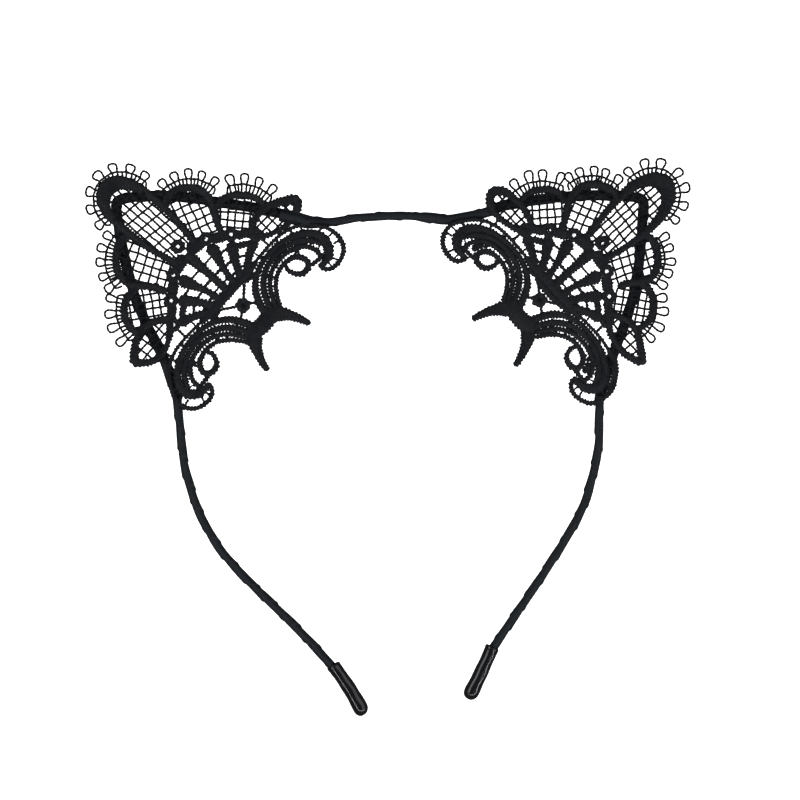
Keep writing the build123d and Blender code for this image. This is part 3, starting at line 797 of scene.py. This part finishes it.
def net_surfaces(ear, lace):
    """The net in the tip petal, the side petals and the leaves."""
    rng = ear_rng(ear, 7)
    edge = through(TIP_PETAL[ear], OUTLINE_STEP)[:, :2]
    tip = np.vstack([edge, shared(TIP_NET_FOOT, ear)])
    threads = net_panel(tip, TIP_NET[ear], lace, rng)
    for side in (1, -1):
        upper = through(SIDE_PETAL[ear, side], OUTLINE_STEP)[:, :2]
        lower = through(LOW_PETAL[ear, side], OUTLINE_STEP)[:, :2]
        leaf = through(LEAF[ear, side], OUTLINE_STEP, closed=True)[:-1, :2]
        panels = ((np.vstack([upper, SIDE_NET_FOOT]), SIDE_NET),
                  (np.vstack([lower, LOW_NET_FOOT]), LOW_NET),
                  (leaf, LEAF_NET))
        for outline, families in panels:
            if side == -1:
                families = [(180 - degrees, spacing, first if degrees < 60 else -first)
                            for degrees, spacing, first in families]
            threads += net_panel(mirrored(outline, side), families, lace, rng)
    return threads


def picot_row(row, side, lace, rng):
    """A thread that follows the petal a little way off its edge, with balloon-shaped loops whose
    legs cross it and end in the petal, and short posts between them. Each thread is first drawn
    as radius, angle and height about the row's centre."""
    centre, edge, base, reach, stretch, first, last, count = row
    angles = np.radians(np.linspace(first, last, count)) + rng.uniform(-0.03, 0.03, count)
    gap = abs(angles[1] - angles[0])
    swing = np.linspace(min(angles) - 0.62 * gap, max(angles) + 0.62 * gap, 4 * count + 1)
    radius = base + rng.uniform(-0.12, 0.12, len(swing))
    radius[[0, -1]] = edge
    threads = [np.column_stack([radius, swing, np.full(len(swing), -0.1)])]

    # One loop: across and up its own height, and how far it lies over the base thread
    leg_x = np.array([-0.75, -0.85, -1.12, -1.32, -1.02, 0, 1.02, 1.32, 1.12, 0.85, 0.75])
    leg_y = np.array([-0.6, 0.05, 0.35, 0.68, 0.93, 1, 0.93, 0.68, 0.35, 0.05, -0.6])
    over = np.array([0, 0.2, 0.1, 0, 0, 0, 0, 0, 0.1, 0.2, 0])
    for angle in angles:
        height = (reach - base) * rng.uniform(0.93, 1.07)
        out = base + leg_y * height * np.where(leg_y < 0, (base - edge) / height / 0.6 + 0.3, 1)
        lean = rng.uniform(-0.3, 0.3) * np.clip(leg_y, 0, 1)
        swing = angle + (leg_x * rng.uniform(0.9, 1.1) + lean) / out
        threads.append(np.column_stack([out, swing, over]))
    for angle in (angles[1:] + angles[:-1]) / 2:
        threads.append(np.array([(edge - 0.6, angle, 0), (base + 0.1, angle, 0)]))

    placed = []
    for thread in threads:
        radius = thread[:, 0] * (1 + stretch * np.sin(thread[:, 1]) ** 2)
        x = centre[0] + radius * np.cos(thread[:, 1])
        y = centre[1] + radius * np.sin(thread[:, 1])
        points = mirrored(np.column_stack([x, y, thread[:, 2]]), side)
        placed.append(lace_thread(points, lace.picot_thread, rng))
    return placed


def picot_surfaces(ear, lace):
    """The thread loops along the outer edge of the tip, side and low petals."""
    rng = ear_rng(ear, 8)
    threads = []
    for side in (0, 1, -1):
        for row in PICOT_ROWS[ear, side]:
            threads += picot_row(row, side or 1, lace, rng)
    return threads


# ---------------------------------------------------------------- ribbon, stitches and caps
def in_wire_plane(route):
    """Points (x, z) of the wire's centre line as points (x, 0, z)."""
    p = np.asarray(route, float)
    return np.column_stack([p[:, 0], np.zeros(len(p)), p[:, 1]])


def wound_ribbon(line, ribbon, start, widen):
    """Ribbon wound on the wire: the radius rises over each turn, more at the selvedge, and drops
    at the ribbon's edge, which runs as a helix; slow sine waves make both uneven. start is the
    length already wound. widen gives three numbers for each point of the line: extra half width
    in the wire's plane, and extra depth at front and back."""
    along = run_length(line)
    turn = np.linspace(0, 2 * math.pi, RIBBON_RING, endpoint=False)
    s = along[:, None] + start
    pitch = ribbon.pitch / MM
    waver = 0.09 * np.sin(s / 7.3) + 0.06 * np.sin(s / 3.1 + 1.4)
    phase = (s / pitch + turn / (2 * math.pi) + waver) % 1
    edge = np.clip((1 - phase) / RIBBON_EDGE, 0, 1)
    selvedge = SELVEDGE * np.exp(-((phase - SELVEDGE_AT) / SELVEDGE_WIDTH) ** 2)
    climb = (0.25 + 0.75 * phase) * edge + selvedge * edge
    soft = 0.05 * np.sin(s / 1.9 + 2 * turn) + 0.04 * np.sin(s / 4.3 - turn + 1)
    radius = ribbon.radius / MM + ribbon.step / MM * climb + soft
    t = headings(line)
    side = np.cross(FRONT, t)
    sides = np.cos(turn) * (radius + widen[:, :1])
    depth = np.sin(turn) * (radius + np.where(np.sin(turn) > 0, widen[:, 1:2], widen[:, 2:3]))
    grid = line[:, None] + side[:, None] * sides[..., None] + FRONT * depth[..., None]
    return surface(grid[:, ::-1] * MM, along + start)


def ribbon_pieces(ribbon, material):
    """The wound ribbon as four pieces: two halves of the crown and an ear with its leg on each
    side. It is thicker where the crown meets the left ear."""
    for ear in SIDES:
        sign = -1 if ear == "left" else 1
        ear_line = beside(in_wire_plane(EAR_ROUTE[ear]), LINE_STEP)
        crown = beside(in_wire_plane(CROWN_ROUTE), LINE_STEP)
        if ear == "left":
            crown = crown[::-1]
        crown = crown[crown[:, 0] * sign > -0.2]
        over = np.vstack([crown, ear_line[1:CROWN_WRAP_STEPS[ear]]])
        outward = over[:, 0] * sign
        over[:, 2] -= CROWN_DIP * ease(outward, *DIP_STARTS) * (1 - ease(outward, *DIP_ENDS))
        if ear == "left":
            swell = ease(outward, 17, 30) * (1 - 0.25 * ease(outward, 33, 36))
            widen = np.column_stack([0.9 * swell, 1.95 * ease(outward, 20, 31), 0.25 * swell])
        else:
            plump = PLUMP * ease(outward, *PLUMP_FROM)
            widen = np.column_stack([plump, plump, plump])
        wrap = wound_ribbon(over, ribbon, 0, widen)
        obj = new_piece(f"{ear}_crown_wrap", [wrap], material)
        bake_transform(obj)
        if ear == "left":
            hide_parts("crown_ribbon")

        leg = beside(in_wire_plane(LEG_ROUTE[ear]), LINE_STEP)
        run = np.vstack([ear_line[CROWN_WRAP_STEPS[ear] - WRAP_OVERLAP:], leg[1:]])
        in_ear = EAR_PLUMP * (1 - ease(-run[:, 2], *LEG_STARTS)) + 0.06
        widen = np.column_stack([in_ear, 0.3 * in_ear, 0.3 * in_ear])
        wrap = wound_ribbon(run, ribbon, WOUND_BEFORE_EAR, widen)
        obj = new_piece(f"{ear}_side_wrap", [wrap], material)
        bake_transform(obj)
        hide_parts(f"{ear}_ear_ribbon", f"{ear}_leg_ribbon")


def stitch_surfaces(ear):
    """Two turns of sewing thread at each stitch: a rounded box, from powers of sine and cosine,
    round the wrapped wire and over the lace, drifting a little along the wire."""
    rng = ear_rng(ear, 9)
    line = beside(in_wire_plane(EAR_ROUTE[ear]), LINE_STEP)
    t = headings(line)
    turn = np.linspace(0, 4 * math.pi, 90)
    cos = np.cos(turn + 1)
    sin = np.sin(turn + 1)
    depth = ((STITCH_FRONT + STITCH_BACK) / 2 * np.sign(cos) * np.abs(cos) ** 0.55
             + (STITCH_FRONT - STITCH_BACK) / 2)
    width = STITCH_SIDE * np.sign(sin) * np.abs(sin) ** 0.75
    loops = []
    for share in STITCH_SHARES[ear]:
        i = int(share * (len(line) - 1))
        side = np.cross(FRONT, t[i])
        drift = (turn / (4 * math.pi) - 0.5) * rng.uniform(0.7, 1.3)
        loop = line[i] + depth[:, None] * FRONT + width[:, None] * side + drift[:, None] * t[i]
        thread = tube(loop, STITCH_THREAD, t[i], STITCH_RING)
        loops.append({**thread, "grid": thread["grid"] * MM})
    return loops


def cap_surface(ear, cap):
    """A dipped cap: a profile of radius against length, turned about the cap's axis and bowed by
    half a sine wave. It has a rolled rim, a slim neck, a fuller end and a hollow mouth round the
    wire."""
    mouth, end = (np.array([p[0], 0, p[1]]) for p in CAP_ENDS[ear])
    axis = end - mouth
    size = np.linalg.norm(axis)
    axis /= size
    neck = cap.neck_radius / MM
    bulb = cap.bulb_radius / MM
    inner = [(1.35, 1.6), (1.5, 0.8), (1.68, 0.22), (1.9, -0.02), (2.2, 0.08), (2.36, 0.4),
             (2.38, 0.85), (neck + 0.03, 1.5)]
    outer = [(neck, 3), (neck + 0.02, 6), (neck + 0.07, 9), (bulb - 0.1, 12), (bulb, size - 4),
             (bulb, size - CAP_DOME - 0.1)]
    dome = [(bulb * math.cos(a) ** 0.92, size - CAP_DOME + CAP_DOME * math.sin(a))
            for a in np.radians(np.arange(10, 90, 10))]
    profile = through(inner + outer + dome + [(0.12, size)], CAP_STEP)
    turn = np.linspace(0, 2 * math.pi, CAP_RING, endpoint=False)
    side = np.cross(axis, FRONT)
    radius = profile[:, :1]
    at = profile[:, 1:]
    body = ease(at, 1.5, 4) * (1 - ease(at, size - 4, size - 1))
    radius = radius * (1 + 0.022 * np.sin(at * 0.9 + 2 * turn) * body)
    bend = CAP_BOW[ear] * np.sin(math.pi * np.clip(at / size, 0, 1))
    spin = (side * np.cos(turn)[:, None] + FRONT * np.sin(turn)[:, None])[None]
    grid = mouth + at[..., None] * axis + radius[..., None] * spin + bend[..., None] * side
    return surface(grid * MM, run_length(profile))


# ---------------------------------------------------------------- materials
def new_node(tree, kind, settings=None, **inputs):
    """A shader node with its own settings and unlinked inputs; a socket as input is linked."""
    node = tree.nodes.new(kind)
    for key, value in (settings or {}).items():
        setattr(node, key, value)
    for key, value in inputs.items():
        socket = node.inputs[key.replace("_", " ")]
        if isinstance(value, bpy.types.NodeSocket):
            tree.links.new(value, socket)
        else:
            socket.default_value = value
    return node


def maths(tree, operation, a, b=0.0, clamp=False):
    """The result of a sum on two values, each a number or a socket."""
    node = new_node(tree, "ShaderNodeMath", {"operation": operation, "use_clamp": clamp})
    for socket, value in zip(node.inputs, (a, b)):
        if isinstance(value, bpy.types.NodeSocket):
            tree.links.new(value, socket)
        else:
            socket.default_value = value
    return node.outputs[0]


def new_group(name, inputs, outputs):
    """A shader node group with number inputs and outputs: the group, then the sockets that carry
    its inputs in and take its outputs."""
    group = bpy.data.node_groups.new(name, "ShaderNodeTree")
    for label, default in inputs:
        socket = group.interface.new_socket(label, in_out="INPUT", socket_type="NodeSocketFloat")
        socket.default_value = default
    for label in outputs:
        group.interface.new_socket(label, in_out="OUTPUT", socket_type="NodeSocketFloat")
    given = group.nodes.new("NodeGroupInput").outputs
    out = group.nodes.new("NodeGroupOutput").inputs
    return group, given, out


def twisted_thread_group():
    """Fine threads laid across the run of a cord or ribbon, from its UV map: a wave of the given
    pitch in millimetres along the run, slanted round the section, roughened by noise. Its second
    output, the wave's crests times noise, is a painted highlight that lightens the colour on the
    threads' crests."""
    group, given, out = new_group("Laid threads", (("Pitch", 0.3), ("Slant", 1.0), ("Fuzz", 0.3)),
                                  ("Height", "Painted crest highlight"))
    uv = new_node(group, "ShaderNodeTexCoord").outputs["UV"]
    place = new_node(group, "ShaderNodeSeparateXYZ", Vector=uv).outputs
    slanted = maths(group, "ADD", maths(group, "DIVIDE", place["X"], given["Pitch"]),
                    maths(group, "MULTIPLY", place["Y"], given["Slant"]))
    where = new_node(group, "ShaderNodeTexCoord").outputs["Object"]
    noise = new_node(group, "ShaderNodeTexNoise", Vector=where, Scale=2600.0, Detail=3.0)
    bend = maths(group, "MULTIPLY", noise.outputs[0], given["Fuzz"])
    angle = maths(group, "MULTIPLY", maths(group, "ADD", slanted, bend), 2 * math.pi)
    wave = maths(group, "MULTIPLY", maths(group, "SINE", angle), 0.5)
    height = maths(group, "ADD", wave, 0.5)
    group.links.new(height, out["Height"])
    # Painted highlight: the threads' crests, times noise, mark where the colour is lightened
    group.links.new(maths(group, "MULTIPLY", height, noise.outputs[0], True), out["Painted crest highlight"])


def soft_patches_group():
    """Slow changes of tone and gloss over the whole object, and fine fluff, from two sizes of
    noise on object coordinates."""
    group, given, out = new_group("Soft patches", (("Scale", 120.0), ("Fine scale", 1800.0)),
                                  ("Patch", "Fluff"))
    where = new_node(group, "ShaderNodeTexCoord").outputs["Object"]
    patch = new_node(group, "ShaderNodeTexNoise", Vector=where, Scale=given["Scale"], Detail=2.0)
    fluff = new_node(group, "ShaderNodeTexNoise", Vector=where, Scale=given["Fine scale"],
                     Detail=4.0, Roughness=0.7)
    group.links.new(patch.outputs[0], out["Patch"])
    group.links.new(fluff.outputs[0], out["Fluff"])


def use_group(tree, name, **inputs):
    """The outputs of a node group placed in the tree with its own values."""
    node = tree.nodes.new("ShaderNodeGroup")
    node.node_tree = bpy.data.node_groups[name]
    for key, value in inputs.items():
        node.inputs[key.replace("_", " ")].default_value = value
    return node.outputs


def new_material(name):
    """A material with only its Principled BSDF and output."""
    material = bpy.data.materials.new(name)
    material.use_nodes = True
    return material, material.node_tree, material.node_tree.nodes["Principled BSDF"]


def tone(tree, colour, lift, mask):
    """The colour, and the same colour lightened by lift where the mask is 1."""
    light = [min(c * lift, 1.0) for c in colour]
    mix = new_node(tree, "ShaderNodeMix", {"data_type": "RGBA"})
    tree.links.new(mask, mix.inputs["Factor"])
    mix.inputs["A"].default_value = (*colour, 1)
    mix.inputs["B"].default_value = (*light, 1)
    return mix.outputs["Result"]


def ranged(tree, value, low, high):
    """A 0 to 1 value stretched to the range from low to high."""
    return new_node(tree, "ShaderNodeMapRange", Value=value, To_Min=low, To_Max=high).outputs[0]


def fabric_material(name, colour, pitch, slant, rough, bump, lift):
    """A thread or ribbon finish: laid threads in bump, and in tone as a painted highlight that
    lightens their crests by lift, with soft patches. Returns its shader."""
    _, tree, shader = new_material(name)
    threads = use_group(tree, "Laid threads", Pitch=pitch, Slant=slant)
    soft = use_group(tree, "Soft patches")
    # Painted highlight on the threads' crests, in soft random patches of tone
    mask = maths(tree, "MULTIPLY", threads["Painted crest highlight"], soft["Patch"], True)
    tree.links.new(tone(tree, colour, lift, mask), shader.inputs["Base Color"])
    tree.links.new(ranged(tree, soft["Patch"], rough - 0.07, rough + 0.07),
                   shader.inputs["Roughness"])
    relief = maths(tree, "ADD", maths(tree, "MULTIPLY", threads["Height"], 0.8),
                   maths(tree, "MULTIPLY", soft["Fluff"], 0.35))
    bumps = new_node(tree, "ShaderNodeBump", Strength=bump, Distance=0.00008, Height=relief)
    tree.links.new(bumps.outputs[0], shader.inputs["Normal"])
    return shader


def lace_material(lace):
    """Matt rayon embroidery thread."""
    # lift: the colour on the threads' crests is four times lighter, a painted highlight
    shader = fabric_material("guipure satin stitch", lace.colour, pitch=0.21, slant=1.5,
                             rough=0.45, bump=1.0, lift=4.0)
    shader.inputs["Specular IOR Level"].default_value = 0.15
    shader.inputs["Sheen Weight"].default_value = 0.004
    shader.inputs["Sheen Roughness"].default_value = 0.45


def thread_material(name, colour):
    """Fine twisted thread."""
    # lift: painted highlight on the threads' crests
    shader = fabric_material(name, colour, pitch=0.35, slant=1.0, rough=0.6, bump=0.5, lift=2.4)
    shader.inputs["Specular IOR Level"].default_value = 0.08
    shader.inputs["Sheen Weight"].default_value = 0.004


def satin_material(ribbon):
    """Satin ribbon: floats running along the ribbon, so nearly round the wire, and a soft slate
    sheen."""
    # lift: painted highlight on the threads' crests
    shader = fabric_material("black satin ribbon", ribbon.colour, pitch=0.16, slant=3.0,
                             rough=0.4, bump=0.35, lift=2.2)
    shader.inputs["Specular IOR Level"].default_value = 0.09
    shader.inputs["Sheen Weight"].default_value = 0.01
    shader.inputs["Sheen Roughness"].default_value = 0.35
    shader.inputs["Sheen Tint"].default_value = (0.6, 0.7, 0.85, 1)
    shader.inputs["Anisotropic"].default_value = 0.5


def vinyl_material(cap):
    """Dipped vinyl: high gloss over a faintly rippled skin, with dust dulling it in patches."""
    _, tree, shader = new_material("dipped black vinyl")
    soft = use_group(tree, "Soft patches", Scale=260.0, Fine_scale=3200.0)
    dust = maths(tree, "POWER", soft["Fluff"], 3.0)
    tree.links.new(tone(tree, cap.colour, 3.0, dust), shader.inputs["Base Color"])
    tree.links.new(ranged(tree, soft["Patch"], 0.08, 0.2), shader.inputs["Roughness"])
    bumps = new_node(tree, "ShaderNodeBump", Strength=0.1, Distance=0.0002, Height=soft["Patch"])
    tree.links.new(bumps.outputs[0], shader.inputs["Normal"])
    shader.inputs["Specular IOR Level"].default_value = 0.35
    shader.inputs["Coat Weight"].default_value = 0.04
    shader.inputs["Coat Roughness"].default_value = 0.06


def steel_material():
    """Drawn spring steel: a finely pitted skin and an uneven blue-grey oxide."""
    _, tree, shader = new_material("drawn spring steel")
    soft = use_group(tree, "Soft patches", Scale=300.0, Fine_scale=5000.0)
    tree.links.new(tone(tree, (0.3, 0.31, 0.33), 1.6, soft["Patch"]), shader.inputs["Base Color"])
    tree.links.new(ranged(tree, soft["Fluff"], 0.22, 0.42), shader.inputs["Roughness"])
    bumps = new_node(tree, "ShaderNodeBump", Strength=0.2, Distance=0.00003, Height=soft["Fluff"])
    tree.links.new(bumps.outputs[0], shader.inputs["Normal"])
    shader.inputs["Metallic"].default_value = 1.0


def backdrop_material(colour):
    """Pale matt paper, lit through from behind so that it stays white."""
    material, tree, shader = new_material("pale backdrop paper")
    where = new_node(tree, "ShaderNodeTexCoord").outputs["Object"]
    grain = new_node(tree, "ShaderNodeTexNoise", Vector=where, Scale=900.0, Detail=2.0)
    tree.links.new(tone(tree, colour, 1.04, grain.outputs[0]), shader.inputs["Base Color"])
    shader.inputs["Roughness"].default_value = 0.95
    shader.inputs["Emission Color"].default_value = (1, 1, 1, 1)
    shader.inputs["Emission Strength"].default_value = 1.0
    return material


# ---------------------------------------------------------------- operators
class HeadbandOperator:
    """What the headband's operators share."""

    bl_options = {"REGISTER", "UNDO"}

    def execute(self, context):
        self.make(context.scene)
        return {"FINISHED"}


class HEADBAND_OT_materials(HeadbandOperator, bpy.types.Operator):
    """Make the node groups and every finish of the headband"""

    bl_idname = "headband.materials"
    bl_label = "Finishes"

    def make(self, scene):
        twisted_thread_group()
        soft_patches_group()
        lace_material(scene.headband_lace)
        thread_material("fine lace thread", scene.headband_lace.colour)
        thread_material("sewing thread", scene.headband_lace.colour)
        satin_material(scene.headband_ribbon)
        vinyl_material(scene.headband_cap)
        steel_material()


class HEADBAND_OT_wire(HeadbandOperator, bpy.types.Operator):
    """Finish the five lengths of the spring-steel wire"""

    bl_idname = "headband.wire"
    bl_label = "Spring wire"

    def make(self, scene):
        steel = bpy.data.materials["drawn spring steel"]
        for name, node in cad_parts.items():
            if name.endswith("_wire"):
                for slot in node.material_slots:
                    slot.material = steel


class HEADBAND_OT_ribbon(HeadbandOperator, bpy.types.Operator):
    """Wind the satin ribbon over the crown, the ears and the legs"""

    bl_idname = "headband.ribbon"
    bl_label = "Satin ribbon"

    def make(self, scene):
        ribbon_pieces(scene.headband_ribbon, bpy.data.materials["black satin ribbon"])


class HEADBAND_OT_lace_cords(HeadbandOperator, bpy.types.Operator):
    """Embroider the satin-stitched cords of both motifs"""

    bl_idname = "headband.lace_cords"
    bl_label = "Lace cords"

    def make(self, scene):
        lace = scene.headband_lace
        satin = bpy.data.materials["guipure satin stitch"]
        for ear in SIDES:
            for name, draw in (("petals", petal_surfaces), ("fan", fan_surfaces),
                               ("scrolls", scroll_surfaces), ("curls", curl_surfaces),
                               ("rosette", rosette_surfaces), ("horns", horn_surfaces)):
                lace_piece(f"{name}_embroidery", draw(ear, lace), ear, [f"lace_{name}"], satin,
                           lace)


class HEADBAND_OT_lace_net(HeadbandOperator, bpy.types.Operator):
    """Throw the net's threads across the petals and leaves"""

    bl_idname = "headband.lace_net"
    bl_label = "Lace net"

    def make(self, scene):
        for ear in SIDES:
            lace_piece("net_threads", net_surfaces(ear, scene.headband_lace), ear, ["lace_net"],
                       bpy.data.materials["fine lace thread"],
                       scene.headband_lace)


class HEADBAND_OT_picots(HeadbandOperator, bpy.types.Operator):
    """Loop the picot edging along the outside of each motif"""

    bl_idname = "headband.picots"
    bl_label = "Picot edging"

    def make(self, scene):
        for ear in SIDES:
            lace_piece("picot_loops", picot_surfaces(ear, scene.headband_lace), ear,
                       ["lace_picots"], bpy.data.materials["fine lace thread"],
                       scene.headband_lace)


class HEADBAND_OT_stitches(HeadbandOperator, bpy.types.Operator):
    """Stitch each motif to its ear frame"""

    bl_idname = "headband.stitches"
    bl_label = "Stitches"

    def make(self, scene):
        for ear in SIDES:
            obj = new_piece(f"{ear}_frame_stitches", stitch_surfaces(ear),
                            bpy.data.materials["sewing thread"])
            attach(obj, f"{ear}_ear")
            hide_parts(f"{ear}_stitches")


class HEADBAND_OT_caps(HeadbandOperator, bpy.types.Operator):
    """Dip a vinyl cap on each end of the wire"""

    bl_idname = "headband.caps"
    bl_label = "End caps"

    def make(self, scene):
        for ear in SIDES:
            obj = new_piece(f"{ear}_dipped_cap", [cap_surface(ear, scene.headband_cap)],
                            bpy.data.materials["dipped black vinyl"])
            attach(obj, f"{ear}_leg")
            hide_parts(f"{ear}_end_cap")


class HEADBAND_OT_stage(HeadbandOperator, bpy.types.Operator):
    """Set the pale floor, the soft lights and the camera"""

    bl_idname = "headband.stage"
    bl_label = "Stage"

    def make(self, scene):
        settings = scene.headband_stage
        add_backdrop(settings)
        add_lights(scene)
        add_camera(scene, settings)


def add_backdrop(settings):
    """A sheet of paper that lies flat under the headband and sweeps up behind it: the profile is
    a straight floor, a quarter circle and a straight wall, carried sideways."""
    floor_z = CAD_BOX[0][2] - FLOOR_CLEARANCE
    quarter = np.linspace(0, math.pi / 2, 24)
    y = np.concatenate([[FLOOR_FRONT], WALL_FOOT + SWEEP_RADIUS * np.sin(quarter),
                        [WALL_FOOT + SWEEP_RADIUS]])
    z = floor_z + np.concatenate([[0], SWEEP_RADIUS * (1 - np.cos(quarter)), [WALL_HEIGHT]])
    x = np.linspace(-FLOOR_HALF_WIDTH, FLOOR_HALF_WIDTH, 5)
    grid = np.stack(np.broadcast_arrays(x[:, None], y[None], z[None]), -1)
    rows, columns = grid.shape[:2]
    corner = np.arange(rows - 1)[:, None] * columns + np.arange(columns - 1)
    quads = np.stack([corner, corner + columns, corner + columns + 1, corner + 1], -1)
    mesh = bpy.data.meshes.new("backdrop")
    mesh.from_pydata(grid.reshape(-1, 3).tolist(), [], quads.reshape(-1, 4).tolist())
    mesh.shade_smooth()
    mesh.materials.append(backdrop_material(tuple(settings.floor_colour)))
    obj = bpy.data.objects.new("backdrop", mesh)
    bpy.context.scene.collection.objects.link(obj)
    obj.visible_glossy = False
    obj.visible_shadow = False


def add_lights(scene):
    """A room that looks white but lights the headband weakly, a key high on the left, a wide fill
    on the right, a thin strip below that draws the caps' highlights, and lamps over the paper."""
    world = bpy.data.worlds.new("white room")
    world.use_nodes = True
    tree = world.node_tree
    background = tree.nodes["Background"]
    background.inputs["Color"].default_value = (1, 1, 1, 1)
    seen = tree.nodes.new("ShaderNodeLightPath").outputs["Is Camera Ray"]
    strength = maths(tree, "ADD", maths(tree, "MULTIPLY", seen, 1 - ROOM_LIGHT), ROOM_LIGHT)
    tree.links.new(strength, background.inputs["Strength"])
    scene.world = world
    for name, (place, target, (width, height), power, mirrored_by_gloss) in LAMPS.items():
        data = bpy.data.lights.new(name, "AREA")
        data.shape = "RECTANGLE"
        data.size = width
        data.size_y = height
        data.energy = power
        lamp = bpy.data.objects.new(name, data)
        lamp.location = place
        lamp.rotation_euler = aim(np.array(target) - np.array(place))
        lamp.visible_glossy = mirrored_by_gloss
        scene.collection.objects.link(lamp)


def aim(direction):
    """Euler angles that point an object's -Z along the direction, its Y kept upward."""
    x, y, z = direction / np.linalg.norm(direction)
    return (math.acos(-z), 0, math.atan2(-x, y))


def add_camera(scene, settings):
    """A long lens square to the headband's front."""
    data = bpy.data.cameras.new("camera")
    data.lens = settings.lens
    data.sensor_width = SENSOR_WIDTH
    camera = bpy.data.objects.new("camera", data)
    camera.location = (CAMERA_X, -settings.camera_distance, CAMERA_Z)
    camera.rotation_euler = (math.pi / 2, 0, 0)
    scene.collection.objects.link(camera)
    scene.camera = camera
    scene.view_settings.view_transform = "Standard"


class HEADBAND_PT_panel(bpy.types.Panel):
    """Lists the headband's steps in the order in which they are made"""

    bl_label = "Cat-ear headband"
    bl_space_type = "VIEW_3D"
    bl_region_type = "UI"
    bl_category = "Headband"

    def draw(self, context):
        for step in STEPS:
            self.layout.operator(step.bl_idname)


SETTINGS = {"headband_lace": LaceSettings, "headband_ribbon": RibbonSettings,
            "headband_cap": CapSettings, "headband_stage": StageSettings}
STEPS = (HEADBAND_OT_materials, HEADBAND_OT_wire, HEADBAND_OT_ribbon, HEADBAND_OT_lace_cords,
         HEADBAND_OT_lace_net, HEADBAND_OT_picots, HEADBAND_OT_stitches, HEADBAND_OT_caps,
         HEADBAND_OT_stage)


def register():
    """Register the settings, the operators and the panel."""
    for name, group in SETTINGS.items():
        bpy.utils.register_class(group)
        setattr(bpy.types.Scene, name, bpy.props.PointerProperty(type=group))
    for cls in (*STEPS, HEADBAND_PT_panel):
        bpy.utils.register_class(cls)


def unregister():
    """Take the panel, the operators and the settings away again."""
    for cls in reversed((*STEPS, HEADBAND_PT_panel)):
        bpy.utils.unregister_class(cls)
    for name, group in SETTINGS.items():
        delattr(bpy.types.Scene, name)
        bpy.utils.unregister_class(group)


def main():
    """Make the headband and its stage."""
    register()
    for step in STEPS:
        module, name = step.bl_idname.split(".")
        getattr(getattr(bpy.ops, module), name)()


if __name__ == "__main__":
    main()
